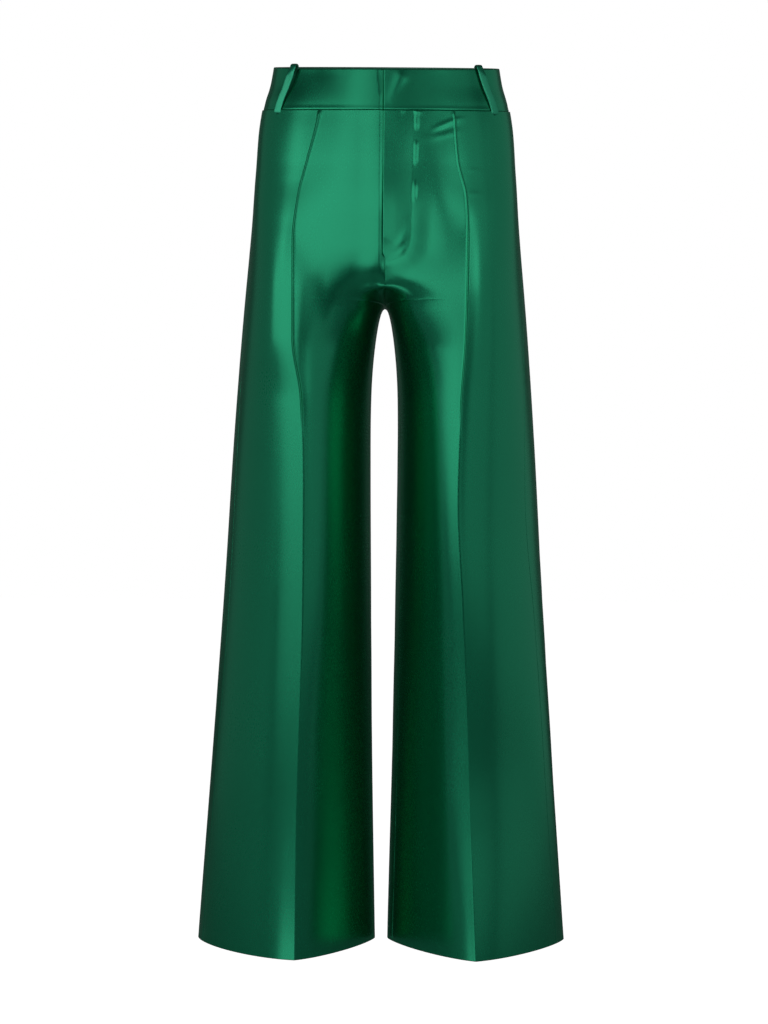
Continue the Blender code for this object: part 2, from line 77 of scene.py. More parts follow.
# z, half width over both legs
SIDE_LINE = (
    (0.000, 0.1409), (-0.022, 0.1447), (-0.046, 0.1514), (-0.091, 0.1586),
    (-0.141, 0.1625), (-0.191, 0.1656), (-0.291, 0.1750), (-0.378, 0.1819),
    (-0.478, 0.1888), (-0.628, 0.1975), (-0.853, 0.2125), (-1.089, 0.2295),
)
# z, depth at the centre line in front and behind
HIP_DEPTH = (
    (0.000, 0.0970, 0.0970), (-0.054, 0.1040, 0.1060), (-0.120, 0.1115, 0.1200),
    (-0.200, 0.1170, 0.1290), (-0.300, 0.1180, 0.1260),
)
# z, roundness of the hip's section in front and behind; 2 is an ellipse, more is flatter
HIP_ROUND = (
    (0.000, 2.25, 2.0), (-0.054, 2.35, 2.0), (-0.120, 2.55, 2.0), (-0.200, 2.90, 2.0),
    (-0.300, 2.90, 2.0),
)
# z, depth at the crease: right front, left front, both behind; then the roundness of the
# right and left leg's section, and of its front inside the crease, right and left
LEG_DEPTH = (
    (-0.120, 0.1120, 0.1120, 0.1220, 2.00, 2.00, 2.00, 2.00),
    (-0.200, 0.1160, 0.1160, 0.1270, 2.00, 2.00, 2.20, 2.20),
    (-0.275, 0.1190, 0.1190, 0.1203, 1.96, 1.96, 3.80, 4.30),
    (-0.310, 0.1202, 0.1202, 0.1170, 1.94, 1.94, 2.90, 3.30),
    (-0.360, 0.1211, 0.1211, 0.1125, 1.88, 1.86, 2.05, 2.10),
    (-0.420, 0.1220, 0.1220, 0.1090, 1.80, 1.75, 1.66, 1.75),
    (-0.600, 0.1240, 0.1240, 0.1100, 1.65, 1.55, 1.57, 1.55),
    (-0.850, 0.1265, 0.1175, 0.1180, 1.55, 1.42, 1.31, 1.42),
    (-0.930, 0.1272, 0.1200, 0.1200, 1.53, 1.38, 1.31, 1.38),
    (-1.089, 0.1360, 0.1375, 0.1260, 1.50, 1.32, 1.30, 1.32),
)
# z, crease from the centre line: right front, left front, both at the back
CREASE_LINE = (
    (0.000, 0.0760, 0.0770, 0.0700), (-0.054, 0.0800, 0.0815, 0.0760),
    (-0.120, 0.0945, 0.0865, 0.0860), (-0.170, 0.1050, 0.0965, 0.0930),
    (-0.230, 0.1110, 0.0992, 0.0980), (-0.345, 0.1105, 0.0970, 0.1010),
    (-0.420, 0.0997, 0.0922, 0.1010), (-0.540, 0.0964, 0.0885, 0.1010),
    (-0.665, 0.0963, 0.0950, 0.1020), (-0.800, 0.0990, 0.1018, 0.1050),
    (-0.930, 0.1022, 0.1065, 0.1090), (-1.089, 0.1030, 0.1130, 0.1140),
)
# z, half of the gap between the legs
LEG_GAP = (
    (-0.300, 0.0180), (-0.430, 0.0174), (-0.628, 0.0153), (-0.853, 0.0124), (-1.089, 0.0075),
)
# z, side seams inside the outline (right, left), inseams inside the inner outline
SEAM_INSET = (
    (0.000, 0.0010, 0.0010, 0.0000, 0.0000), (-0.060, 0.0010, 0.0010, 0.0000, 0.0000),
    (-0.200, 0.0010, 0.0015, 0.0000, 0.0000), (-0.300, 0.0025, 0.0060, 0.0000, 0.0000),
    (-0.440, 0.0070, 0.0140, 0.0018, 0.0030), (-0.560, 0.0085, 0.0190, 0.0030, 0.0060),
    (-0.700, 0.0100, 0.0140, 0.0030, 0.0062), (-0.850, 0.0085, 0.0125, 0.0030, 0.0062),
    (-1.089, 0.0080, 0.0125, 0.0030, 0.0062),
)
SIDES = {"right": -1, "left": 1}
COLUMN = {"right": 1, "left": 2}   # in tables with a column for each side
FACE_COLUMN = {"front": 1, "back": 2}
SAMPLES = 260                   # points worked out along each quarter of a section
print("outseam", OUTSEAM, "m, waist to crotch", -CROTCH_Z, "m")

# %% [markdown]
# ## Reading the tables
# A cubic through each column gives a value at any height. It never overshoots, so the outline
# stays as smooth and plain as pressed cloth.


# %% Smooth curves through a table
def smooth(table, column, z):
    """Value of a table's column at the heights z: a cubic whose slopes are the harmonic
    means of the steps on both sides, and 0 where these disagree."""
    rows = np.array(table)
    x = -rows[:, 0]
    y = rows[:, column]
    step = np.diff(x)
    rise = np.diff(y) / step
    slope = np.concatenate([rise[:1], np.zeros(len(x) - 2), rise[-1:]])
    same = rise[:-1] * rise[1:] > 0
    total = np.where(same, rise[:-1] + rise[1:], 1.0)
    slope[1:-1] = np.where(same, 2 * rise[:-1] * rise[1:] / total, 0.0)
    at = np.clip(-np.asarray(z, float), x[0], x[-1])
    i = np.clip(np.searchsorted(x, at, side="right") - 1, 0, len(step) - 1)
    h = step[i]
    t = (at - x[i]) / h
    rest = 1 - t
    ends = y[i] * (1 + 2 * t) * rest ** 2 + y[i + 1] * (3 - 2 * t) * t ** 2
    return ends + h * t * rest * (slope[i] * rest - slope[i + 1] * t)


def ease(value, start, end):
    """0 at start, 1 at end, level at both: 3 t squared minus 2 t cubed."""
    t = np.clip((value - start) / (end - start), 0.0, 1.0)
    return t * t * (3 - 2 * t)


def leg_gap(z):
    """Half of the gap between the legs: a root of the drop, then the tabled gap below."""
    arch = ARCH * np.sqrt(np.maximum(CROTCH_Z - z, 0.0))
    widest = smooth(LEG_GAP, 1, z)
    return np.maximum(arch / (1 + (arch / widest) ** ARCH_BLEND) ** (1 / ARCH_BLEND), HALF_GAP)


def outline_x(z):
    """Half width over both legs, with the step out from the band to the panels."""
    step = BAND_STEP * (z < SEAM_Z) * (1 - ease(z, SEAM_Z, BAND_STEP_END_Z))
    return smooth(SIDE_LINE, 1, z) + step


print("half width at the hem:", round(float(outline_x(np.array(HEM_Z))), 4), "m")

# %% [markdown]
# ## One quarter of the figure
# Above the crotch a section is part of a superellipse round the whole body, which is an
# ellipse with flatter or rounder sides. Below it, each leg is one of its own, which comes to a
# soft corner at the pressed crease. The two are mixed between hip and crotch, while the inner
# end runs down the centre seam and on into the inseam.


# %% Sections
def turned_under(z, height, power):
    """Share of its depth that a face has close above the crotch: the root of
    1 - (1 - climb) ** power, where climb goes from 0 at the crotch to 1 at the height."""
    climb = np.clip((z - CROTCH_Z) / height, 0.0, 1.0)
    return TURN_SHARE * np.sqrt(1 - (1 - climb) ** power)


def half_section(z, side, face):
    """x and y from the widest point over the crease (sample SAMPLES - 1) to the centre line
    or the inner leg, one row for each height. Hip: a superellipse by angle. Leg: crease plus or
    minus reach times cosine, and depth times sine, both raised to 2 / roundness, plus a
    power of the distance to the crease that sets the depth at the centre line."""
    z = np.asarray(z, float)[:, None]
    front = face == "front"
    forward = 1 if front else -1
    leg_column = COLUMN[side] if front else 3
    wide = outline_x(z)
    crease = smooth(CREASE_LINE, leg_column, z)
    centre_depth = smooth(HIP_DEPTH, FACE_COLUMN[face], z)
    leg_depth = smooth(LEG_DEPTH, leg_column, z)
    outer_round = smooth(LEG_DEPTH, COLUMN[side] + 3, z)
    inner_round = smooth(LEG_DEPTH, COLUMN[side] + 5, z) if front else outer_round
    hip_power = 2 / smooth(HIP_ROUND, FACE_COLUMN[face], z)
    mix = ease(z, *HIP_TO_LEG)
    mid_depth = -forward * SEAT_Y
    share = np.linspace(0.0, 1.0, SAMPLES)[None, :]

    crease_angle = np.arccos((crease / wide) ** (1 / hip_power))
    angle = np.concatenate([crease_angle * share,
                            (crease_angle + (pi / 2 - crease_angle) * share)[:, 1:]], axis=1)
    hip_x = wide * np.clip(np.cos(angle), 0.0, 1.0) ** hip_power
    hip_d = centre_depth * np.clip(np.sin(angle), 0.0, 1.0) ** hip_power

    early = reach = turned_under(z, UPTURN[face], 2)
    if front:
        early = turned_under(z, EARLY_TURN[side], 3)
        sunk = np.clip((z - VALLEY[1]) / (VALLEY[2] - VALLEY[1]), 0.0, 1.0)
        reach = reach * (1 - VALLEY[0] * sunk ** 2)
    end_angle = np.arcsin(early ** (inner_round / 2))
    inner_reach = (crease - leg_gap(z)) / np.cos(end_angle) ** (2 / inner_round)
    outer_angle = pi / 2 * share
    inner_angle = pi / 2 + (end_angle - pi / 2) * share

    def power(value, roundness):
        """A sine or cosine raised to 2 / roundness."""
        return np.clip(value, 0.0, 1.0) ** (2 / roundness)

    leg_x = np.concatenate([
        crease + (wide - crease) * power(np.cos(outer_angle), outer_round),
        (crease - inner_reach * power(np.cos(inner_angle), inner_round))[:, 1:]], axis=1)
    leg_sine = np.concatenate([power(np.sin(outer_angle), outer_round),
                               power(np.sin(inner_angle), inner_round)[:, 1:]], axis=1)
    to_centre = np.clip((crease - leg_x) / (crease - leg_gap(z)), 0.0, 1.0)
    leg_sine = leg_sine + (reach - early) * to_centre ** CENTRE_TURN
    leg_d = mid_depth + (leg_depth - mid_depth) * leg_sine
    x = (1 - mix) * hip_x + mix * leg_x
    depth = (1 - mix) * hip_d + mix * leg_d
    return np.maximum(x, HALF_GAP), -forward * depth


print("points in a quarter:", half_section([CROTCH_Z], "left", "front")[0].shape[1])


# %% Lengths along a section
def run_length(x, y):
    """Length along each row of points from its start: the running sum of the steps."""
    steps = np.hypot(np.diff(x, axis=1), np.diff(y, axis=1))
    return np.concatenate([np.zeros((len(x), 1)), np.cumsum(steps, axis=1)], axis=1)


def resample(x, y, along, wanted):
    """Points of each row at the wanted lengths along it, by straight interpolation."""
    return (np.array([np.interp(w, s, row) for w, s, row in zip(wanted, along, x)]),
            np.array([np.interp(w, s, row) for w, s, row in zip(wanted, along, y)]))


def side_seam(z, side, x, along):
    """Length from the widest point forward to the side seam."""
    target = x[:, 0] - smooth(SEAM_INSET, COLUMN[side], z)
    outer = slice(SAMPLES - 1, None, -1)
    return np.array([np.interp(t, row[outer], s[outer]) for t, row, s in zip(target, x, along)])


def inseam(z, side, x, along):
    """Length from the innermost point forward to the inseam; 0 above the crotch."""
    target = x[:, -1] + smooth(SEAM_INSET, COLUMN[side] + 2, z)
    inner = slice(None, SAMPLES - 1, -1)
    found = np.array([s[-1] - np.interp(t, row[inner], s[inner])
                      for t, row, s in zip(target, x, along)])
    return np.where(z < CROTCH_Z, found, 0.0)


def stand(x, y, z, side):
    """Points of the sections on one side, with the waist tilted down to the front."""
    z = np.broadcast_to(np.asarray(z, float)[:, None], x.shape)
    tilt = WAIST_TILT + (SEAM_TILT - WAIST_TILT) * np.clip(z / SEAM_Z, 0.0, 1.0)
    tilt = tilt * (1 - ease(z, SEAM_Z, TILT_END_Z))
    return np.stack([SIDES[side] * x, y, z + tilt * y], axis=2)


hem_x, hem_y = half_section([HEM_Z], "left", "front")
print("front of the hem:", round(float(run_length(hem_x, hem_y)[0, -1]), 3), "m")

# %% [markdown]
# ## Cloth from a grid
# A piece of cloth is a grid of points and a second grid a cloth's thickness behind it, closed
# round the edge. A plane with a Solidify modifier would do nearly the same. Two grids were
# chosen because the thickness then changes where the real one does: at the pressed seam
# allowances and at the hem, where the cloth is doubled.

# %% Cloth
CLOTH = 0.7 * MM                # one layer of heavy satin
ALLOWANCE_CLOTH = 0.7 * MM      # the pressed seam allowance adds another layer
ALLOWANCE = 12 * MM
HEM_TURN = 40 * MM
EDGE_ROLL = 0.6 * MM            # a sewn edge turns in with this radius
LEVEL_ROWS = 4                  # a grid's normals turn level over its first and last rows
SHARP_ANGLE = radians(70)
made = {}
cut = {}                        # each piece's widest row, longest column and area
print("cloth:", CLOTH / MM, "mm, at seams and hems", (CLOTH + ALLOWANCE_CLOTH) / MM, "mm")


# %% Grids
def columns(start, end, near_start, near_end, count):
    """Lengths for the columns of each row: fixed distances in from both ends, and count
    even steps between them."""
    first = start[:, None] + np.array(near_start)
    last = end[:, None] - np.array(near_end)[::-1]
    inside = np.linspace(0.0, 1.0, count + 2)[1:-1]
    middle = first[:, -1:] + (last[:, :1] - first[:, -1:]) * inside
    return np.concatenate([first, middle, last], axis=1)


def outward(grid, level=False):
    """Unit normals of a grid round the body: the cross product of its two directions,
    turned level towards the top and bottom rows, or everywhere if level."""
    normal = np.cross(np.gradient(grid, axis=1, edge_order=2), np.gradient(grid, axis=0))
    rows = np.arange(len(grid))
    lean = np.zeros(len(rows)) if level else np.minimum(rows, rows[::-1]) / LEVEL_ROWS
    normal[:, :, 2] *= np.minimum(lean, 1.0)[:, None]
    normal /= np.linalg.norm(normal, axis=2, keepdims=True)
    middle = grid[0].mean(axis=0) * (1, 0, 1)
    return normal if np.sum(normal[0] * (grid[0] - middle)) > 0 else -normal


def rolled(distance, radius=EDGE_ROLL):
    """How far a sewn edge turns in at a distance from it: a quarter circle."""
    t = 1 - np.clip(distance / radius, 0.0, 1.0)
    return radius * (1 - np.sqrt(np.maximum(1 - t * t, 0.0)))


def grid_area(grid):
    """Area of a grid: half the cross product of each cell's diagonals."""
    a = grid[1:, 1:] - grid[:-1, :-1]
    b = grid[1:, :-1] - grid[:-1, 1:]
    return float(np.linalg.norm(np.cross(a, b), axis=2).sum() / 2)


def longest(grid):
    """Length of the longest row of a grid."""
    return float(np.linalg.norm(np.diff(grid, axis=1), axis=2).sum(axis=1).max())


print("a sewn edge's turn at the edge:", float(rolled(0.0)) / MM, "mm")


# %% Closed pieces
def add(name, data):
    """New object of a mesh, a light or a camera, in the scene."""
    thing = bpy.data.objects.new(name, data)
    bpy.context.scene.collection.objects.link(thing)
    return thing


def cloth_wall(name, outer, inner, along, down):
    """Closed cloth piece from two grids. Its UV map runs in metres along the cloth and down
    it, and the attribute reverse is 1 on the inside."""
    rows, cols = outer.shape[:2]
    count = rows * cols
    points = np.concatenate([outer.reshape(-1, 3), inner.reshape(-1, 3)])
    index = np.arange(count).reshape(rows, cols)

    def quads(a, b, c, d):
        """Faces from four arrays of corners."""
        return np.stack([a, b, c, d], axis=-1).reshape(-1, 4)

    face = quads(index[:-1, :-1], index[1:, :-1], index[1:, 1:], index[:-1, 1:])
    faces = [face, face[:, ::-1] + count]
    for rim in (index[:, 0][::-1], index[:, -1], index[0], index[-1][::-1]):
        faces.append(quads(rim[:-1], rim[1:], rim[1:] + count, rim[:-1] + count))
    faces = np.concatenate(faces)
    fan = points[faces]
    volume = (np.einsum("ij,ij->", fan[:, 0], np.cross(fan[:, 1], fan[:, 2]))
              + np.einsum("ij,ij->", fan[:, 0], np.cross(fan[:, 2], fan[:, 3])))
    if volume < 0:
        faces = faces[:, ::-1]
    mesh = bpy.data.meshes.new(name)
    mesh.from_pydata(points.tolist(), [], faces.tolist())
    mesh.shade_smooth()
    mesh.set_sharp_from_angle(angle=SHARP_ANGLE)
    flat = np.stack([along.reshape(-1), down.reshape(-1)], axis=1)
    uv = mesh.uv_layers.new(name="cloth")
    uv.data.foreach_set("uv", np.tile(flat, (2, 1))[faces.reshape(-1)].reshape(-1))
    reverse = mesh.attributes.new("reverse", "FLOAT", "POINT")
    reverse.data.foreach_set("value", np.repeat([0.0, 1.0], count))
    made[name] = add(name, mesh)
    cut[name] = longest(outer), longest(outer.transpose(1, 0, 2)), grid_area(outer)
    print(name, len(faces) * 2, "triangles,", round(cut[name][2], 4), "m2 of cloth")


# %% [markdown]
# ## Folds, one by one
# A cloth simulation could drape the legs, but pressed satin hangs almost still, and what shows
# are a few soft folds in known places. So each fold is drawn as a line with a width and a
# height, and the cloth is lifted by a bell of the distance to that line. A little seeded
# unevenness keeps wide faces from looking like sheet metal.


# %% Folds
FAR = 1e9
KNOTS = 160                     # random values in each direction


def stretches(a, z, path):
    """For each stretch of a path: its ends, how far along it each point (a, z) comes nearest,
    as a share, and how far away the point is there."""
    for p, q in zip(path[:-1], path[1:]):
        run = q[:2] - p[:2]
        t = np.clip(((a - p[0]) * run[0] + (z - p[1]) * run[1]) / (run @ run), 0.0, 1.0)
        yield p, q, t, np.hypot(a - p[0] - run[0] * t, z - p[1] - run[1] * t)


def fold(a, z, path):
    """Lift at the points (a, z) by a fold along a path of rows (a, z, width, height) in
    millimetres: the height times exp(-(distance / width) squared), from the nearest stretch."""
    best = np.full(a.shape, FAR)
    lift = np.zeros(a.shape)
    for p, q, t, away in stretches(a, z, np.array(path, float) * MM):
        width, height = (p[k] + (q[k] - p[k]) * t for k in (2, 3))
        away = away / width
        lift = np.where(away < best, height * np.exp(-away ** 2), lift)
        best = np.minimum(best, away)
    return lift


def folds(a, z, paths):
    """Sum of several folds."""
    return sum((fold(a, z, path) for path in paths), np.zeros(a.shape))


def uneven(a, z, row, shift=0):
    """Smooth seeded unevenness from a row of height, spacing along and down, and seed: a
    random value at each knot of a grid with that spacing, joined by cubics both ways."""
    height, size_a, size_z, seed = row
    knots = np.random.default_rng(seed + shift).uniform(-1, 1, (KNOTS, KNOTS))
    u = a / size_a + KNOTS / 2
    v = z / size_z + KNOTS / 2
    i, j = np.floor(u).astype(int), np.floor(v).astype(int)
    s, t = ease(u - i, 0, 1), ease(v - j, 0, 1)
    i, j = i % (KNOTS - 1), j % (KNOTS - 1)
    upper = knots[i, j] * (1 - s) + knots[i + 1, j] * s
    lower = knots[i, j + 1] * (1 - s) + knots[i + 1, j + 1] * s
    return height * (upper * (1 - t) + lower * t)


print("a fold's height at its line:", fold(np.zeros(1), np.zeros(1), ((0, 5, 4, 1), (0, -5, 4, 1))))

# %% [markdown]
# ## Front panels
# Each front panel runs from the side seam over the crease to the centre seam and the inseam.
# The crease is sewn as a narrow tuck from the waist to above the knee and only pressed below,
# so its ridge is sharp first and soft later. The left panel laps over the right one at the
# fly. Its stitched fly sinks a little towards the stitching, and the cloth outside rises in a
# rim, which is what catches the light.

# %% Front panels: sizes
TUCK_END_Z = -0.445             # the crease is stitched down to here
TUCK_FADE = 30 * MM             # and turns into the pressed one over this much up and down
TUCK = (1.3 * MM, 1.9 * MM)     # half width and height of the stitched tuck
TUCK_SHARPNESS = 1.6
TUCK_WIDER = {"right": 0.9, "left": 0.2}   # at the waist seam it is wider by this share
TUCK_WIDER_FADE = 16 * MM
TUCK_FLAT = (0.25, 7 * MM)      # share of its height at the seam, and where it is whole
CREASE = (3.0 * MM, 0.6 * MM)   # half width and height of the pressed crease
NEAR_CREASE = tuple(d * MM for d in (0.0, 0.35, 0.7, 1.05, 1.5, 2.2, 3.3, 5.0, 7.5))
NEAR_EDGE = tuple(d * MM for d in (0.0, 0.2, 0.6, 1.2, 2.2, 4.0, 7.0))
FRONT_COLUMNS = {"right": (22, 50), "left": (22, 62)}   # even ones outside and inside the crease
POCKET_TOP_Z = -0.060
POCKET_END_Z = -0.210
POCKET_GAPE = 2.4 * MM
SLIP = 12 * MM                  # an edge that is shifted sideways takes this much cloth along
SLIP_END = 10 * MM              # and ends this far below the crotch
ABOVE = (-4 * MM, 2 * MM)       # from the crotch: the centre seam turns into the inseams
LAYER_STEP = 1 * MM             # width of the step from one layer of cloth to two
FADE_IN = 25 * MM               # the unevenness starts this far in from the edges
EVEN_ROLL = 0.4 * MM            # and the rolled edge itself has no puckers
FLAT_SEAM = 0.8                 # the centre seam above the crotch rolls less by this share
THINNEST = 0.3 * MM
# unevenness: height, spacing along the cloth and down it, seed; and how far puckers reach
FRONT_UNEVEN = (0.20 * MM, 0.090, 0.240, 3)
FRONT_PUCKER = (0.06 * MM, 0.030, 0.012, 11, 4 * MM)
TOP_PUCKER = (0.09 * MM, 0.011, 0.030, 21, 5 * MM)
print("stitched tuck:", round((SEAM_Z - TUCK_END_Z) / MM), "mm long")

# %% Front panels: rows
PULLED_END_Z = -0.116           # the pull folds need close rows down to here
FOOT_Z = (-0.225, -0.262)       # and so do the puckers at the fly's foot
CROTCH_ROWS = (0.012, 0.020)    # and the crotch, this far up and down


def panel_rows():
    """Heights of a leg panel's rows: close at the waist seam, at the foot of the fly, at the
    crotch and at the hem, and about 3.5 mm apart elsewhere."""
    drop = np.cumsum([0.0, 0.2, 0.4, 0.6, 1.0, 1.6, 2.2]) * MM
    top = SEAM_Z - HALF_GAP - drop
    pulled = np.linspace(top[-1], PULLED_END_Z, 40)[1:]
    hip = np.linspace(PULLED_END_Z, FOOT_Z[0], 38)[1:]
    foot = np.linspace(*FOOT_Z, 20)[1:]
    above = CROTCH_Z + CROTCH_ROWS[0] * np.linspace(1.0, 0.0, 8) ** 2
    gusset = np.linspace(FOOT_Z[1], above[0], 9)[1:-1]
    below = CROTCH_Z - CROTCH_ROWS[1] * np.linspace(0.0, 1.0, 12)[1:] ** 2
    leg = np.linspace(below[-1], HEM_Z + drop[-1], 210)[1:-1]
    return np.concatenate([top, pulled, hip, foot, gusset, above, below, leg,
                           HEM_Z + drop[::-1]])


print("rows in a leg panel:", len(panel_rows()))


# %% Panel edges
def margins(z, start, end, wanted):
    """Distances of a panel's points to both side edges, the waist edge and the hem, and a
    fading from 0 at the nearest of them to 1."""
    to_seam, to_end = wanted - start[:, None], end[:, None] - wanted
    to_top, to_hem = (z[0] - z)[:, None], (z - z[-1])[:, None]
    nearest = np.minimum(np.minimum(to_seam, to_end), np.minimum(to_top, to_hem))
    return to_seam, to_end, to_top, to_hem, ease(nearest, 0.0, FADE_IN)


def puckers(s, z, distance, row, side, power=2):
    """Small unevenness beside an edge: it fades by exp(-(distance / reach) ** power)."""
    *row, reach = row
    fade = np.exp(-(distance / reach) ** power) * (distance > EVEN_ROLL)
    return fade * uneven(s, z, row, SIDES[side])


def raised(grid, normal, lift, z, to_end):
    """A panel's grid lifted along its normals, with its last column kept beside the centre
    line above the crotch, where two panels meet."""
    up = grid + normal * lift[:, :, None]
    slip = (up[:, -1:, 0] - grid[:, -1:, 0]) * ease(z, CROTCH_Z - SLIP_END, CROTCH_Z)[:, None]
    up[:, :, 0] -= slip * np.clip(1 - to_end / SLIP, 0.0, 1.0)
    return up


def panel_wall(name, grid, normal, roll, to_side, s, z):
    """Leg panel from its grid: a second layer of cloth at the seam allowances and at the
    turned hem, and half a roll thinner at its edges."""
    seam = 1 - ease(to_side, ALLOWANCE - LAYER_STEP, ALLOWANCE)
    hem = ease(z, HEM_Z + HEM_TURN, HEM_Z + HEM_TURN - LAYER_STEP)
    layer = CLOTH + ALLOWANCE_CLOTH * np.maximum(seam, hem) - roll / 2
    cloth_wall(name, grid, grid - normal * np.maximum(layer, THINNEST)[:, :, None], s, z)


def pocket_mouth(z):
    """Opening of the pocket mouth along the cloth: a squared sine, widest near its top."""
    share = np.clip((POCKET_TOP_Z - z) / (POCKET_TOP_Z - POCKET_END_Z), 0.0, 1.0)
    return POCKET_GAPE * np.sin(pi * np.sqrt(share)) ** 2


print("pocket mouth:", round(float(pocket_mouth(np.linspace(-0.2, 0, 99)).max()) / MM, 1), "mm")

# %% The fly on the left panel
FLY_END_Z = -0.252
LAP = 3.0 * MM                  # the left edge passes the centre line by this much
LAP_FADE = 8 * MM               # and comes back to it over this height
FLY_FADE = 22 * MM              # the right panel comes up from under it over this height
FLY_SINK = 2.6 * MM             # the fly lies this much lower at its stitching
FLY_INSIDE = 32 * MM            # it slopes down to it over this width
FLY_HOLLOW = 46 * MM            # and the cloth comes back over this width
FLY_MEET = 0.84                 # scales the outer slope to meet the inner one
FLY_SHALLOW = (0.3, (-0.080, -0.135))   # share that it sinks at its top, and where that ends
FLY_SINK_FOOT = (-0.285, -0.225)
FLY_BOW = 2.4 * MM              # stiff and flat, it stands this far off the belly's curve
FLY_BOW_Z = ((-0.105, -0.232), (-0.335, -0.238))
FLY_BOW_EDGE = (-2 * MM, 26 * MM)
RIM = 1.0 * MM                  # a rim outside the stitching, in three stretches of z
RIM_LINE = (3.4 * MM, 2.0 * MM)   # its distance from the stitching and its half width
RIM_SPANS = ((-0.070, -0.092), (-0.110, -0.134), (-0.160, -0.179))
RIM_FADE = (4 * MM, 5 * MM)     # above and below each stretch
KNEE_HOLLOW = 3.2 * MM          # the left leg's front is hollow round this height
KNEE_Z = (-0.868, 0.100)
KNEE_SPAN = (60 * MM, (34 * MM, -6 * MM))   # in from the edges, and across the crease
# x, z of the fly's stitching, in millimetres
FLY_STITCH = ((33.5, -40.0), (33.5, -74.0), (32.4, -137.0), (30.8, -194.0), (30.0, -226.0),
              (28.0, -238.0), (22.2, -246.5), (11.0, -252.0), (-4.0, -255.5))


def beside_stitching(x, z):
    """Signed distance to the fly's stitching, minus inside the fly, plus outside."""
    best = np.full(x.shape, FAR)
    signed = np.zeros(x.shape)
    for p, q, _, away in stretches(x, z, np.array(FLY_STITCH) * MM):
        outside = (q - p)[0] * (z - p[1]) - (q - p)[1] * (x - p[0]) > 0
        signed = np.where(away < best, np.where(outside, away, -away), signed)
        best = np.minimum(best, away)
    return signed


def between(value, rise, fall):
    """1 between two spans and 0 outside them: the product of an ease over each."""
    return ease(value, *rise) * ease(value, *fall)


def left_relief(x, z, s, to_side):
    """Lift of the left panel: minus the sink at the fly's stitching, plus the broken rim
    beside it and the fly's stiff bow, minus the hollow at the knee."""
    beside = beside_stitching(x, z)
    sink = np.clip(1 + beside / FLY_INSIDE, 0.0, 1.0) * (beside < 0)
    sink = sink + (beside >= 0) * (1 - ease(beside, -FLY_HOLLOW / 3, FLY_HOLLOW)) / FLY_MEET
    least, deepens = FLY_SHALLOW
    sink = sink * (least + (1 - least) * ease(z, *deepens)) * ease(z, *FLY_SINK_FOOT)
    rim = np.exp(-((beside - RIM_LINE[0]) / RIM_LINE[1]) ** 2)
    up, down = RIM_FADE
    broken = sum(between(z, (low - down, low + down), (high + up, high - up))
                 for high, low in RIM_SPANS)
    bow = between(z, *FLY_BOW_Z) * (1 - ease(beside, *FLY_BOW_EDGE))
    knee = np.exp(-((z - KNEE_Z[0]) / KNEE_Z[1]) ** 2) * ease(to_side, 0.0, KNEE_SPAN[0])
    return (RIM * rim * broken + FLY_BOW * bow - FLY_SINK * sink
            - KNEE_HOLLOW * knee * ease(s, *KNEE_SPAN[1]))


print("fly:", round((SEAM_Z - FLY_END_Z) / MM), "mm long")

# %% Under the lap, and under the belly, on the right panel
UNDER = 1.2 * MM                # the right panel dips this far under the lap
UNDER_EDGE = (3.2 * MM, 5.4 * MM)
LAP_RISE = 1.1 * MM             # it rises towards the lap before it dips under
LAP_RISE_SPAN = (5 * MM, 34 * MM)
LAP_RISE_Z = (-0.290, -0.235)
SEAM_DIP = 0.7 * MM             # below the fly it dips at the centre seam
SEAM_DIP_SPAN = 3.0 * MM
BELLY_FALL = 4.4 * MM           # and falls in under the belly
BELLY_Z = ((-0.234, -0.298), (-0.430, -0.310))
BELLY_X = ((0.012, 0.040), (0.107, 0.070))


def right_relief(x, z, to_end, in_fly, above):
    """Lift of the right panel: a rise before the lap and a dip under it, or a dip at the
    centre seam where the fly has ended, and the fall under the belly."""
    lapped = ease(z, *LAP_RISE_Z)
    rise = LAP_RISE * (1 - ease(to_end, *LAP_RISE_SPAN)) * lapped
    dip = (UNDER + LAP_RISE * lapped) * (1 - ease(to_end, *UNDER_EDGE)) * in_fly
    seam = SEAM_DIP * (1 - in_fly) * above * (1 - ease(to_end, 0.0, SEAM_DIP_SPAN))
    return rise - dip - seam - BELLY_FALL * between(z, *BELLY_Z) * between(x, *BELLY_X)


print("underlap:", UNDER / MM, "mm deep")

# %% Front panels: main creases
# x, z, width, height in millimetres, in front view
FRONT_FOLDS = {
    "right": (
        ((-62, -73, 2.4, 0.5), (-58, -82, 3.0, 0.0)),
        ((-60, -72, 1.2, -0.4), (-60, -78, 1.6, 0.0)),
        ((-14, -72, 1.3, -0.4), (-14, -79, 1.8, 0.0)),
        ((-8, -72, 1.3, -0.4), (-8, -77, 1.8, 0.0)),
    ),
    "left": (
        ((52, -96, 2.8, 0.0), (66, -89, 3.0, 0.42), (84, -80.5, 2.4, 0.4), (98, -77, 3.0, 0.0)),
        ((52, -102, 3.4, 0.0), (68, -96, 3.4, -0.2), (86, -88, 3.0, -0.1)),
        ((36, -108, 6.0, 0.0), (60, -102, 5.0, 0.25), (86, -96, 3.4, 0.15)),
        ((20, -72, 1.6, 0.4), (20, -76, 2.0, 0.0)),
        ((35, -72, 1.8, 0.5), (48, -74, 2.0, 0.0)),
        ((10, -243, 4.0, 0.0), (20, -229, 4.4, 0.45), (30, -210, 4.0, 0.0)),
        ((12, -249, 3.0, 0.0), (20, -243, 3.0, 0.32), (27, -236, 2.6, 0.0)),
        ((20, -246, 1.6, 0.0), (24, -242, 1.6, -0.2), (28, -238, 1.6, 0.0)),
        ((98, -143, 2.0, 0.0), (108, -142, 2.2, 0.4), (118, -142, 2.0, 0.0)),
        ((99, -172, 2.0, 0.0), (108, -171, 2.2, 0.3), (118, -171, 2.0, 0.0)),
    ),
}


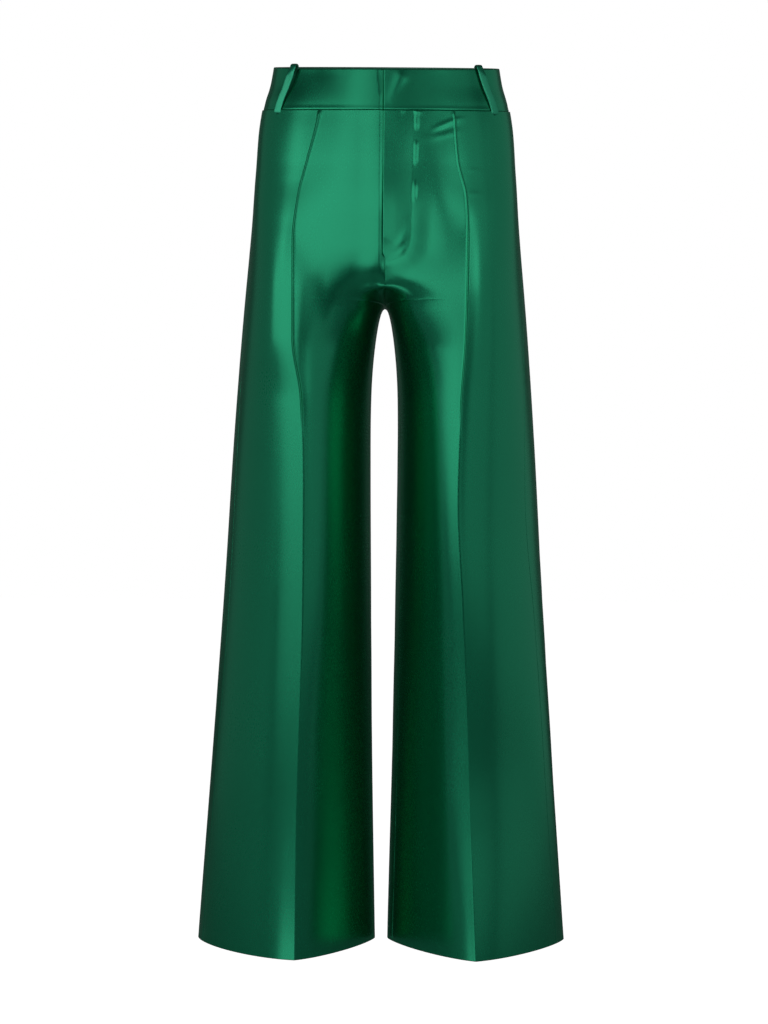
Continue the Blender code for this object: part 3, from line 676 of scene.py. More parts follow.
print("folds in front:", {side: len(rows) for side, rows in FRONT_FOLDS.items()})


# %% Front panels: shape
def front_panel(side):
    """Sections resampled to columns that crowd at the seams and the crease, lifted along
    their normals by the tuck, the folds, the rolled edges and the unevenness of the cloth."""
    z = panel_rows()
    x, y = half_section(z, side, "front")
    along = run_length(x, y)
    start = side_seam(z, side, x, along) + HALF_GAP + pocket_mouth(z)
    crease = along[:, SAMPLES - 1]
    end = along[:, -1] - inseam(z, side, x, along) - np.where(z <= CROTCH_Z, HALF_GAP, 0.0)
    outside, inside = FRONT_COLUMNS[side]
    wanted = np.concatenate([columns(start, crease, NEAR_EDGE, NEAR_CREASE, outside),
                             columns(crease, end, NEAR_CREASE, NEAR_EDGE, inside)[:, 1:]], axis=1)
    grid = stand(*resample(x, y, along, wanted), z, side)
    normal = outward(grid)
    gx, gz = grid[:, :, 0], grid[:, :, 2]
    s = wanted - crease[:, None]
    to_seam, to_end, to_top, to_hem, fading = margins(z, start, end, wanted)
    to_side = np.minimum(to_seam, to_end)

    stitched = 1 - ease(z, TUCK_END_Z + TUCK_FADE, TUCK_END_Z - TUCK_FADE)[:, None]
    wider = 1 + TUCK_WIDER[side] * np.exp(-to_top / TUCK_WIDER_FADE)
    least, whole = TUCK_FLAT
    tuck = TUCK[1] * wider * np.exp(-(s / (TUCK[0] * wider)) ** 2 * TUCK_SHARPNESS)
    tuck = tuck * (least + (1 - least) * ease(to_top, 0.0, whole))
    pressed = CREASE[1] * np.exp(-(s / CREASE[0]) ** 2)
    lift = (stitched * tuck + (1 - stitched) * pressed + folds(np.abs(gx), gz, FRONT_FOLDS[side])
            + fading * uneven(s, gz, FRONT_UNEVEN, SIDES[side])
            + puckers(s, gz, to_side, FRONT_PUCKER, side)
            + puckers(s, gz, to_top, TOP_PUCKER, side, power=1))
    in_fly = ease(z, FLY_END_Z - FLY_FADE, FLY_END_Z)[:, None]
    above = ease(z - CROTCH_Z, *ABOVE)[:, None]
    if side == "left":
        lift = lift + left_relief(gx, gz, s, to_side)
    else:
        lift = lift + right_relief(-gx, gz, to_end, in_fly, above)
    roll = rolled(to_side) * np.where(to_end < to_seam, 1 - FLAT_SEAM * above, 1.0)
    lift = lift - roll - rolled(to_top) - rolled(to_hem)
    grid = raised(grid, normal, lift, z, to_end)
    if side == "left":
        lapped = ease(z, FLY_END_Z, FLY_END_Z + LAP_FADE)[:, None]
        grid[:, :, 0] -= LAP * lapped * np.clip(1 - to_end / SLIP, 0.0, 1.0)
    panel_wall("front_panel_" + side, grid, normal, roll, to_side, s, gz)
    return grid


front_grids = {side: front_panel(side) for side in SIDES}

# %% [markdown]
# ## Back panels
# A back panel starts at the side seam, which lies a little in front of the widest point, and
# runs round the back of the leg to the inseam. It has a pressed crease too, and a dart that
# takes in the waist. The legs' fullness hangs from the seat in long shallow flutes.

# %% Back panels
DART_X = 76                     # middle of the dart from the centre seam, in millimetres
DART_LENGTH = 95
DART = (2.0 * MM, 0.5 * MM)     # half width and depth of its sunken line
BACK_CREASE_Z = (-0.26, -0.36)  # the crease starts between these heights
BACK_COLUMNS = (28, 30)
NEAR_BACK_CREASE = NEAR_CREASE[:1] + NEAR_CREASE[3:]
BACK_UNEVEN = (0.25 * MM, 0.090, 0.220, 31)
BACK_PUCKER = (0.10 * MM, 0.030, 0.006, 41, 5 * MM)
# length from the crease, z, width, height in millimetres
BACK_FOLDS = {
    "right": (
        ((-60, -330, 18, 0.0), (-40, -430, 20, 1.6), (-28, -640, 22, 1.2), (-24, -900, 24, 0.0)),
        ((45, -300, 12, 0.0), (30, -352, 14, 1.6), (8, -392, 14, 0.0)),
    ),
    "left": (
        ((-64, -350, 18, 0.0), (-46, -450, 20, 1.4), (-30, -600, 22, 1.3), (-22, -880, 24, 0.0)),
        ((42, -306, 12, 0.0), (30, -360, 14, 1.5), (6, -405, 14, 0.0)),
    ),
}


def back_panel(side):
    """Front section's end round the side, the back quarter, and the inner strip, resampled
    to columns between the side seam, the back crease and the inseam."""
    z = panel_rows()
    front_x, front_y = half_section(z, side, "front")
    front_along = run_length(front_x, front_y)
    back_x, back_y = half_section(z, side, "back")
    outer, inner = slice(SAMPLES - 1, 0, -1), slice(None, SAMPLES - 1, -1)
    x = np.concatenate([front_x[:, outer], back_x, front_x[:, inner]], axis=1)
    y = np.concatenate([front_y[:, outer], back_y, front_y[:, inner]], axis=1)
    along = run_length(x, y)
    start = along[:, SAMPLES - 1] - side_seam(z, side, front_x, front_along) + HALF_GAP
    crease = along[:, 2 * SAMPLES - 2]
    end = (along[:, 3 * SAMPLES - 3] + inseam(z, side, front_x, front_along)
           - np.where(z <= CROTCH_Z, HALF_GAP, 0.0))
    outside, inside = BACK_COLUMNS
    wanted = np.concatenate([
        columns(start, crease, NEAR_EDGE, NEAR_BACK_CREASE, outside),
        columns(crease, end, NEAR_BACK_CREASE, NEAR_EDGE, inside)[:, 1:]], axis=1)
    grid = stand(*resample(x, y, along, wanted), z, side)
    normal = outward(grid)
    gx, gz = np.abs(grid[:, :, 0]), grid[:, :, 2]
    s = wanted - crease[:, None]
    to_seam, to_end, to_top, to_hem, fading = margins(z, start, end, wanted)
    to_side = np.minimum(to_seam, to_end)

    pressed = CREASE[1] * np.exp(-(s / CREASE[0]) ** 2) * ease(z, *BACK_CREASE_Z)[:, None]
    in_dart = (z >= SEAM_Z - DART_LENGTH * MM)[:, None]
    dart = DART[1] * np.exp(-((gx - DART_X * MM) / DART[0]) ** 2) * in_dart
    roll = rolled(to_side)
    lift = (pressed - dart + folds(s, gz, BACK_FOLDS[side]) * fading
            + fading * uneven(s, gz, BACK_UNEVEN, SIDES[side])
            + puckers(s, gz, to_side, BACK_PUCKER, side)
            - roll - rolled(to_top) - rolled(to_hem))
    grid = raised(grid, normal, lift, z, to_end)
    panel_wall("back_panel_" + side, grid, normal, roll, to_side, s, gz)


for side in SIDES:
    back_panel(side)

# %% [markdown]
# ## Waistband
# The band is two layers and a stiffener, folded at the top, so its edges are round and it
# hardly creases. The right half dips and goes on under the left one at centre front.

# %% Waistband
BAND_CLOTH = 2.0 * MM
BAND_ROLL = 1.0 * MM
BAND_UNDERLAP = 30 * MM
UNDERLAP_RAMP = (10 * MM, 3.6 * MM)   # it dips between these distances from the centre line
UNDERLAP_FOOT = 6 * MM          # but starts only here at the foot
UNDERLAP_FOOT_Z = (-0.004, -0.040)
BAND_LIFT = 0.3 * MM            # clear of the lap's reverse
BAND_EDGE = tuple(d * MM for d in (0.0, 0.12, 0.4, 0.9, 1.6, 2.6, 4.5))
BAND_COLUMNS = (84, 90)         # even ones in a front half, and from the side seam to the back
WELT = (0.25 * MM, 2.0 * MM, 1.2 * MM)   # height, distance above the foot, half width
BAND_UNEVEN = (0.07 * MM, 0.034, 0.026, 7)
BAND_FADE_IN = 9 * MM
# x, z, width, height in millimetres, in front view; x is minus on the wearer's right
BAND_FOLDS = (
    ((-112, -16, 26, -3.0), (-84, -12, 22, -2.4)),
    ((18, -30, 7.0, 0.9), (11, -45, 5.0, 0.5), (3, -62, 4.0, 0.0)),
)


def band_rows():
    """Heights of the band's rows, close together at both folded edges."""
    near = np.array(BAND_EDGE)
    depth = BAND_DEPTH - HALF_GAP
    return -np.concatenate([near, np.linspace(near[-1], depth - near[-1], 18)[1:-1],
                            depth - near[::-1]])


def ring_from_front(z, side):
    """Points from the front centre line round the side to the back centre line, the length
    along them, and that length at the side seam."""
    front_x, front_y = half_section(z, side, "front")
    back_x, back_y = half_section(z, side, "back")
    seam = side_seam(z, side, front_x, run_length(front_x, front_y))
    x = np.concatenate([front_x[:, :0:-1], back_x], axis=1)
    y = np.concatenate([front_y[:, :0:-1], back_y], axis=1)
    along = run_length(x, y)
    return x, y, along, along[:, front_x.shape[1] - 1] - seam


def band(name, grid, along, drop, to_side):
    """Band piece from its grid: dropped, folded and rounded at all its edges, on both of
    its faces."""
    normal = outward(grid, level=True)
    z = band_rows()
    to_top = (z[0] - z)[:, None]
    to_foot = (z - z[-1])[:, None]
    gz = grid[:, :, 2]
    height, above, wide = WELT
    welt = height * np.exp(-((to_foot - above) / wide) ** 2)
    fading = ease(np.minimum(to_side, np.minimum(to_top, to_foot)), 0.0, BAND_FADE_IN)
    bend = folds(grid[:, :, 0], gz, BAND_FOLDS) * (grid[:, :, 1] < 0) - drop
    lift = bend + welt + fading * uneven(along, gz, BAND_UNEVEN)
    turn = rolled(to_top, BAND_ROLL) + rolled(to_foot, EDGE_ROLL) + rolled(to_side, EDGE_ROLL)
    inner = grid + normal * (bend - BAND_CLOTH + turn)[:, :, None]
    outer = grid + normal * (lift - turn)[:, :, None]
    cloth_wall(name, outer, inner, along, gz)


def front_band(side):
    """Front half of the band: the left one laps over, the right one dips and runs under."""
    z = band_rows()
    x, y = half_section(z, side, "front")
    centre = run_length(x, y)[:, -1]
    x = np.concatenate([x, -x[:, -2::-1]], axis=1)
    y = np.concatenate([y, y[:, -2::-1]], axis=1)
    along = run_length(x, y)
    start = side_seam(z, side, x[:, :2 * SAMPLES - 1], along[:, :2 * SAMPLES - 1]) + HALF_GAP
    end = centre + (LAP if side == "left" else BAND_UNDERLAP)
    wanted = columns(start, end, BAND_EDGE, BAND_EDGE, BAND_COLUMNS[0])
    grid = stand(*resample(x, y, along, wanted), z, side)
    before = centre[:, None] - wanted
    far, near = UNDERLAP_RAMP
    far = far - (far - UNDERLAP_FOOT) * ease(z, *UNDERLAP_FOOT_Z)[:, None]
    sunk = (BAND_CLOTH + BAND_LIFT) * (1 - ease(before, near, far))
    drop = sunk if side == "right" else np.zeros_like(sunk)
    to_side = np.minimum(wanted - start[:, None], end[:, None] - wanted)
    band("band_front_" + side, grid, wanted - centre[:, None], drop, to_side)


def back_band():
    """Back of the band in one piece, from side seam to side seam."""
    z = band_rows()
    x, y, along, seam = ring_from_front(z, "left")
    start = seam + HALF_GAP
    wanted = columns(start, along[:, -1], BAND_EDGE, (0.0,), BAND_COLUMNS[1])
    px, py = resample(x, y, along, wanted)
    px[:, -1] = 0.0
    half = stand(px, py, z, "left")
    grid = np.concatenate([half, half[:, -2::-1] * (-1.0, 1.0, 1.0)], axis=1)
    length = wanted - along[:, -1:]
    length = np.concatenate([length, -length[:, -2::-1]], axis=1)
    to_side = (along[:, -1:] - start[:, None]) - np.abs(length)
    band("band_back", grid, length, np.zeros(grid.shape[:2]), to_side)


for side in SIDES:
    front_band(side)
back_band()

# %% [markdown]
# ## Fly shield and pocket facings
# Behind the lap a plain strip closes the fly, and behind each side-seam pocket mouth a strip
# of the same cloth shows where the mouth stands open.

# %% Hidden strips
SHIELD_SPAN = (-10 * MM, 30 * MM)
SHIELD_Z = (-0.058, -0.232)
SHIELD_DROP = 3.9 * MM
FACING_Z = (-0.058, -0.216)
FACING_SPAN = (-14 * MM, 14 * MM)
FACING_DROP = 2.6 * MM
STRIP_CLOTH = 1.0 * MM
STRIP_UNEVEN = (0.2 * MM, 0.018, 0.040, 9)
STRIP_GRID = {"shield": (60, 22), "facing": (56, 16)}   # rows and columns


def strip(name, grid, along, drop):
    """Strip of plain cloth behind a grid: set back along level normals, and a bit uneven."""
    normal = outward(grid, level=True)
    gz = grid[:, :, 2]
    outer = grid + normal * (uneven(along, gz, STRIP_UNEVEN) - drop)[:, :, None]
    cloth_wall(name, outer, outer - normal * STRIP_CLOTH, along, gz)


def fly_shield():
    """Strip across the centre line at even x, as deep as the front section is there."""
    rows, count = STRIP_GRID["shield"]
    z = np.linspace(*SHIELD_Z, rows)
    x, y = half_section(z, "left", "front")
    across = np.linspace(*SHIELD_SPAN, count)
    py = np.array([np.interp(np.abs(across), row_x[::-1], row_y[::-1])
                   for row_x, row_y in zip(x, y)])
    px = np.broadcast_to(across, py.shape)
    strip("fly_shield_strip", stand(px, py, z, "left"), px, SHIELD_DROP)


def pocket_facing(side):
    """Strip along the side seam, from in front of the pocket mouth to behind it."""
    rows, count = STRIP_GRID["facing"]
    z = np.linspace(*FACING_Z, rows)
    x, y, along, seam = ring_from_front(z, side)
    wanted = seam[:, None] + np.linspace(*FACING_SPAN, count)[None, :]
    grid = stand(*resample(x, y, along, wanted), z, side)
    strip("pocket_strip_" + side, grid, wanted, FACING_DROP)


fly_shield()
for side in SIDES:
    pocket_facing(side)

# %% [markdown]
# ## Belt loops
# A loop is a narrow strip, folded in three and pressed. It starts below the waist seam, stands
# off the band so that a belt passes behind it, turns over the top edge and ends inside. It is
# its side profile carried across its width, with a faint crown and rounded long edges.

# %% Belt loops
LOOP_WIDTH = 9 * MM
LOOP_CLOTH = 1.3 * MM
LOOP_LAYERS = 3                 # the strip is folded in three
LOOP_TURN = radians(20)         # a front loop's outer edge stands further off than its inner
LOOP_TURN_Z = (0.002, -0.010)
LOOP_ROWS = 64
LOOP_ROW = 1.4 * MM             # about the length of cloth between two rows
LOOP_CROWN = 0.25 * MM
LOOP_ROLL = (0.55 * MM, 0.5 * MM)   # radius of its long edges and of its ends
# places of the columns, as shares of the half width
LOOP_COLUMNS = np.array([-1, -0.96, -0.86, -0.6, -0.2, 0.2, 0.6, 0.86, 0.96, 1])
FRONT_LOOP = (0.800, 0.855)     # place as a share of the half width, at the top and the foot
BACK_LOOP = (0.560, 0.580)
# height from the waist edge, and offset of the cloth's middle from the band's face
LOOP_PROFILE = (
    (-0.0585, 0.0024), (-0.0520, 0.0025), (-0.0440, 0.0030), (-0.0340, 0.0037),
    (-0.0230, 0.0040), (-0.0120, 0.0038), (-0.0040, 0.0033), (0.0010, 0.0024),
    (0.0038, 0.0009), (0.0044, -0.0010), (0.0032, -0.0027), (0.0000, -0.0034),
    (-0.0100, -0.0034),
)
# the loops at the back are sewn to the band's face, just below its edge
BACK_LOOP_PROFILE = (
    (-0.0585, 0.0024), (-0.0520, 0.0025), (-0.0440, 0.0030), (-0.0340, 0.0037),
    (-0.0230, 0.0038), (-0.0130, 0.0031), (-0.0070, 0.0018), (-0.0030, 0.0011),
)


def path_length(points):
    """Length along a path of points, from its first: the running sum of the chords."""
    return np.concatenate([[0], np.cumsum(np.linalg.norm(np.diff(points, axis=0), axis=1))])


def rounded(points, count):
    """Points on a smooth curve through the given ones: a Catmull-Rom cubic on each stretch,
    read at count places that are even along the chords."""
    p = np.array(points, float)
    chord = path_length(p)
    p = np.vstack([2 * p[0] - p[1], p, 2 * p[-1] - p[-2]])
    at = np.linspace(0, chord[-1], count)
    i = np.clip(np.searchsorted(chord, at, side="right") - 1, 0, len(chord) - 2)
    t = ((at - chord[i]) / (chord[i + 1] - chord[i]))[:, None]
    a, b, c, d = p[i], p[i + 1], p[i + 2], p[i + 3]
    return b + 0.5 * t * (c - a + t * (2 * a - 5 * b + 4 * c - d + t * (3 * (b - c) + d - a)))


def belt_loop(name, face, top_share, foot_share):
    """The profile stands on the band's section: base point plus offset times its normal,
    plus the distance across times its tangent, tilted with the waist."""
    front = face == "front"
    forward = -1 if front else 1
    height, off = rounded(LOOP_PROFILE if front else BACK_LOOP_PROFILE, LOOP_ROWS).T
    slope = np.stack([np.gradient(height), np.gradient(off)])
    slope /= np.linalg.norm(slope, axis=0)
    on_band = np.clip(height, SEAM_Z, 0.0)
    share = top_share + (foot_share - top_share) * on_band / SEAM_Z
    wide = outline_x(on_band)
    deep = smooth(HIP_DEPTH, FACE_COLUMN[face], on_band)
    power = smooth(HIP_ROUND, FACE_COLUMN[face], on_band)
    drop = (1 - np.abs(share) ** power) ** (1 / power)
    base = np.stack([wide * share, forward * deep * drop], axis=1)
    normal = np.stack([np.sign(share) * np.abs(share) ** (power - 1) / wide,
                       forward * drop ** (power - 1) / deep], axis=1)
    normal /= np.linalg.norm(normal, axis=1, keepdims=True)
    tangent = np.stack([-normal[:, 1], normal[:, 0]], axis=1)
    tilt = (WAIST_TILT + (SEAM_TILT - WAIST_TILT) * on_band / SEAM_Z)[:, None]
    across = LOOP_WIDTH / 2 * LOOP_COLUMNS
    crown = LOOP_CROWN * (1 - LOOP_COLUMNS ** 2)
    rows = np.arange(LOOP_ROWS)
    turn = (rolled(LOOP_WIDTH / 2 - np.abs(across), LOOP_ROLL[0])[None, :]
            + rolled(np.minimum(rows, rows[::-1]) * LOOP_ROW, LOOP_ROLL[1])[:, None])
    lean = -forward * np.sign(top_share) * np.sin(LOOP_TURN) * ease(height, *LOOP_TURN_Z)

    def face_grid(shift):
        """The loop's surface at a shift from the middle of its cloth."""
        out = off[:, None] + shift * slope[0][:, None] + across[None] * lean[:, None]
        up = height[:, None] - shift * slope[1][:, None]
        flat = (base[:, None] + out[:, :, None] * normal[:, None]
                + across[None, :, None] * tangent[:, None])
        return np.dstack([flat, up + tilt * flat[:, :, 1]])

    outer = face_grid(LOOP_CLOTH / 2 + crown - turn)
    inner = face_grid(-LOOP_CLOTH / 2 + turn)
    along = np.broadcast_to(across, outer.shape[:2])
    cloth_wall(name, outer, inner, along, np.broadcast_to(height[:, None], outer.shape[:2]))


for side, sign in SIDES.items():
    belt_loop("loop_front_" + side, "front", sign * FRONT_LOOP[0], sign * FRONT_LOOP[1])
    belt_loop("loop_back_" + side, "back", sign * BACK_LOOP[0], sign * BACK_LOOP[1])
belt_loop("loop_back_centre", "back", 0.0, 0.0)

# %% [markdown]
# ## Thread
# The fly is topstitched in thread of the cloth's colour, down from the waist seam and round to
# the lap's edge. A texture could fake it, but each stitch is made here as a small rounded
# grain that dips into the cloth at both ends. One stitch is repeated along the line by numpy,
# as one mesh. The tucks, seams and hems are sewn from inside, so no thread of theirs shows.

# %% Stitches
STITCH_PITCH = 2.8 * MM
STITCH_LENGTH = 2.1 * MM
STITCH_WIDTH = 0.42 * MM
STITCH_DIP = (1.2, 0.5)         # its ends dip and its middle stands up, in half widths
STITCHED_Z = -0.0722            # the line starts here, just below the waist seam
FLY_LINE_POINTS = 300
# rings of a stitch: place as a share of its half length, and width as a share of the full one
GRAIN_PLACES = np.array([-1.0, -0.8, -0.35, 0.35, 0.8, 1.0])
GRAIN_WIDTHS = np.array([0.25, 0.75, 1.0, 1.0, 0.75, 0.25])
GRAIN_SIDES = 6


def crossing(lines, column, at):
    """Values of each line of points where its falling column passes a value."""
    i = np.clip((lines[:, :, column] > at).sum(axis=1) - 1, 0, lines.shape[1] - 2)
    rows = np.arange(len(lines))
    a, b = lines[rows, i], lines[rows, i + 1]
    share = np.clip((a[:, column] - at) / (a[:, column] - b[:, column]), 0.0, 1.0)
    return a + (b - a) * share[:, None]


def on_cloth(grid, path):
    """Points and normals of the left front panel along a path of x and z in front view: read
    along the rows at x, and then down them at z."""
    values = np.dstack([grid, outward(grid)])
    found = np.array([crossing(crossing(values, 0, x)[None], 2, z)[0] for x, z in path])
    return found[:, :3], found[:, 3:]


def stitches(name, path, normal):
    """A grain at even steps of the path: its cross-section is a circle that shrinks to its
    ends and sinks into the cloth there by a parabola."""
    run = path_length(path)
    at = np.arange(STITCH_PITCH, run[-1] - STITCH_PITCH / 2, STITCH_PITCH)

    def read(values, where):
        """Values at lengths along the path."""
        return np.stack([np.interp(where, run, values[:, k]) for k in range(3)], axis=1)

    middle = read(path, at)
    forward = read(path, at + MM) - read(path, at - MM)
    forward /= np.linalg.norm(forward, axis=1, keepdims=True)
    up = read(normal, at)
    across = np.cross(up, forward)
    across /= np.linalg.norm(across, axis=1, keepdims=True)
    up = np.cross(forward, across)
    turn = np.linspace(0, 2 * pi, GRAIN_SIDES, endpoint=False)
    place = GRAIN_PLACES[:, None] + 0 * turn
    dip, rise = STITCH_DIP
    wide = GRAIN_WIDTHS[:, None] * np.cos(turn)
    high = GRAIN_WIDTHS[:, None] * np.sin(turn) - dip * place ** 2 + rise
    grain = (middle[:, None, None]
             + (place * STITCH_LENGTH / 2)[None, :, :, None] * forward[:, None, None]
             + (wide * STITCH_WIDTH / 2)[None, :, :, None] * across[:, None, None]
             + (high * STITCH_WIDTH / 2)[None, :, :, None] * up[:, None, None])
    index = np.arange(place.size).reshape(place.shape)
    nxt = np.roll(index, -1, axis=1)
    body = np.stack([index[:-1], index[1:], nxt[1:], nxt[:-1]], axis=-1).reshape(-1, 4)
    halves = np.array([[0, 1, 2, 3], [0, 3, 4, 5]])   # two quads close a ring of six
    one = np.concatenate([body, index[0][halves], index[-1][halves][:, ::-1]])
    faces = (one[None] + (np.arange(len(at)) * index.size)[:, None, None]).reshape(-1, 4)
    mesh = bpy.data.meshes.new(name)
    mesh.from_pydata(grain.reshape(-1, 3).tolist(), [], faces.tolist())
    mesh.shade_smooth()
    mesh.uv_layers.new(name="cloth")
    made[name] = add(name, mesh)
    print(name, len(at), "stitches")


fly_line = rounded(np.array(FLY_STITCH) * MM, FLY_LINE_POINTS)
fly_line = fly_line[(fly_line[:, 1] < STITCHED_Z) & (fly_line[:, 0] > 0.5 * MM)]
stitches("fly_thread", *on_cloth(front_grids["left"], fly_line))


# %% [markdown]
# ## Satin
# Satin shines because its long warp threads float on the face. They reflect light in the
# cloth's own colour, more than a plain weave does, and turn grey-brown only at a grazing
# angle. So the shader is mostly a dyed, metallic reflection, with a little soft diffuse and a
# thin coat. One node group gives every cloth its threads: fine streaks along the warp for
# height and roughness, and a faint cloudiness. The reverse is duller and darker.


# %% Satin threads, as a node group
THREADS = (1900, 210)           # noise cells in a metre, across the warp and along it
CLOUD = (14, 7)
NOISE_DETAIL = 2
BRIGHTNESS = {"threads": 0.10, "cloud": 0.08, "least": 0.91}
CLOUD_ROUGH = 0.05              # range of roughness in the slow cloud
REVERSE_ROUGH = 0.22            # the reverse is rougher by this
GROUP_INPUTS = (("Face colour", "NodeSocketColor", (0, 0.3, 0.15, 1)),
                ("Reverse colour", "NodeSocketColor", (0, 0.2, 0.1, 1)),
                ("Roughness", "NodeSocketFloat", 0.3),
                ("Streaks", "NodeSocketFloat", 0.06))
GROUP_OUTPUTS = (("Colour", "NodeSocketColor"), ("Roughness", "NodeSocketFloat"),
                 ("Height", "NodeSocketFloat"))


def calc(tree, operation, *values):
    """Math node on sockets or plain numbers; gives its output."""
    node = tree.nodes.new("ShaderNodeMath")
    node.operation = operation
    for socket, value in zip(node.inputs, values):
        if isinstance(value, (int, float)):
            socket.default_value = value
        else:
            tree.links.new(value, socket)
    return node.outputs[0]


def reverse_side(tree):
    """1 on the cloth's reverse, 0 on its face, from the piece's attribute."""
    node = tree.nodes.new("ShaderNodeAttribute")
    node.attribute_name = "reverse"
    return node.outputs["Fac"]


def noise(tree, scale):
    """Noise stretched over the UV map in metres."""
    uv = tree.nodes.new("ShaderNodeUVMap")
    uv.uv_map = "cloth"
    mapping = tree.nodes.new("ShaderNodeMapping")
    mapping.inputs["Scale"].default_value = (*scale, 1)
    texture = tree.nodes.new("ShaderNodeTexNoise")
    texture.noise_dimensions = "2D"
    texture.inputs["Scale"].default_value = 1.0
    texture.inputs["Detail"].default_value = NOISE_DETAIL
    tree.links.new(uv.outputs["UV"], mapping.inputs["Vector"])
    tree.links.new(mapping.outputs["Vector"], texture.inputs["Vector"])
    return texture.outputs["Fac"]


def satin_threads():
    """Streaked noise along the cloth's length, and a slow cloud, both from the UV map in
    metres. Out: colour, roughness and the height of the threads."""
    tree = bpy.data.node_groups.new("satin threads", "ShaderNodeTree")
    for name, kind, value in GROUP_INPUTS:
        socket = tree.interface.new_socket(name, in_out="INPUT", socket_type=kind)
        socket.default_value = value
    for name, kind in GROUP_OUTPUTS:
        tree.interface.new_socket(name, in_out="OUTPUT", socket_type=kind)
    inputs = tree.nodes.new("NodeGroupInput").outputs
    outputs = tree.nodes.new("NodeGroupOutput").inputs
    link = tree.links.new
    threads, cloud, reverse = noise(tree, THREADS), noise(tree, CLOUD), reverse_side(tree)
    mix = tree.nodes.new("ShaderNodeMix")
    mix.data_type = "RGBA"
    link(reverse, mix.inputs["Factor"])
    link(inputs["Face colour"], mix.inputs["A"])
    link(inputs["Reverse colour"], mix.inputs["B"])
    shade = tree.nodes.new("ShaderNodeHueSaturation")
    link(mix.outputs["Result"], shade.inputs["Color"])
    bright = calc(tree, "MULTIPLY_ADD", threads, BRIGHTNESS["threads"], BRIGHTNESS["least"])
    link(calc(tree, "MULTIPLY_ADD", cloud, BRIGHTNESS["cloud"], bright), shade.inputs["Value"])
    link(shade.outputs["Color"], outputs["Colour"])
    streaked = calc(tree, "MULTIPLY", calc(tree, "SUBTRACT", threads, 0.5), inputs["Streaks"])
    rough = calc(tree, "ADD", inputs["Roughness"], streaked)
    rough = calc(tree, "ADD", rough,
                 calc(tree, "MULTIPLY_ADD", cloud, CLOUD_ROUGH, -CLOUD_ROUGH / 2))
    link(calc(tree, "MULTIPLY_ADD", reverse, REVERSE_ROUGH, rough), outputs["Roughness"])
    link(threads, outputs["Height"])
    return tree


threads_group = satin_threads()
print("satin threads group:", len(threads_group.nodes), "nodes")

# %% Satin finishes
FACE = (0.002, 0.400, 0.190, 1)
REVERSE = (0.006, 0.190, 0.100, 1)
LOOP_FACE_PAINTED_LIGHTER = (0.020, 0.470, 0.250, 1)   # lighter than FACE: a painted highlight, since the narrow pressed loops catch more light
METALLIC = 0.90
DULLER = 0.70                   # the reverse is this much less metallic
THREAD_BUMP = {"Strength": 0.12, "Distance": 0.04 * MM}
SHINE = {
    "Specular IOR Level": 1.0,
    "Specular Tint": (0.60, 0.90, 0.80, 1),
    "Coat Weight": 0.12,
    "Coat Roughness": 0.24,
    "Coat IOR": 2.4,
    "Sheen Weight": 0.04,
    "Sheen Roughness": 0.35,
    "Sheen Tint": (0.62, 0.55, 0.50, 1),
}


def set_inputs(node, values):
    """Values of a node's sockets, by name."""
    for name, value in values.items():
        node.inputs[name].default_value = value


def satin(name, face, roughness):
    """One cloth: the threads group feeds colour, roughness and a fine bump, and the face is
    more metallic than the reverse."""
    material = bpy.data.materials.new(name)
    material.use_nodes = True
    tree = material.node_tree
    shader = tree.nodes["Principled BSDF"]
    threads = tree.nodes.new("ShaderNodeGroup")
    threads.node_tree = threads_group
    bump = tree.nodes.new("ShaderNodeBump")
    set_inputs(threads, {"Face colour": face, "Reverse colour": REVERSE, "Roughness": roughness})
    set_inputs(bump, THREAD_BUMP)
    set_inputs(shader, SHINE)
    metallic = calc(tree, "MULTIPLY_ADD", reverse_side(tree), -DULLER, METALLIC)
    for out, into in ((threads.outputs["Colour"], shader.inputs["Base Color"]),
                      (threads.outputs["Roughness"], shader.inputs["Roughness"]),
                      (threads.outputs["Height"], bump.inputs["Height"]),
                      (bump.outputs["Normal"], shader.inputs["Normal"]),
                      (metallic, shader.inputs["Metallic"])):
        tree.links.new(out, into)
    return material


finishes = {
    "panel_satin": satin("panel satin", FACE, 0.26),
    "band_satin": satin("band satin", FACE, 0.25),
    # the loops' satin is painted lighter than the rest of the cloth: a painted highlight
    "loop_satin": satin("loop satin painted lighter", LOOP_FACE_PAINTED_LIGHTER, 0.34),
    "inner_satin": satin("inner satin", FACE, 0.34),
}
print("finishes:", ", ".join(finishes))
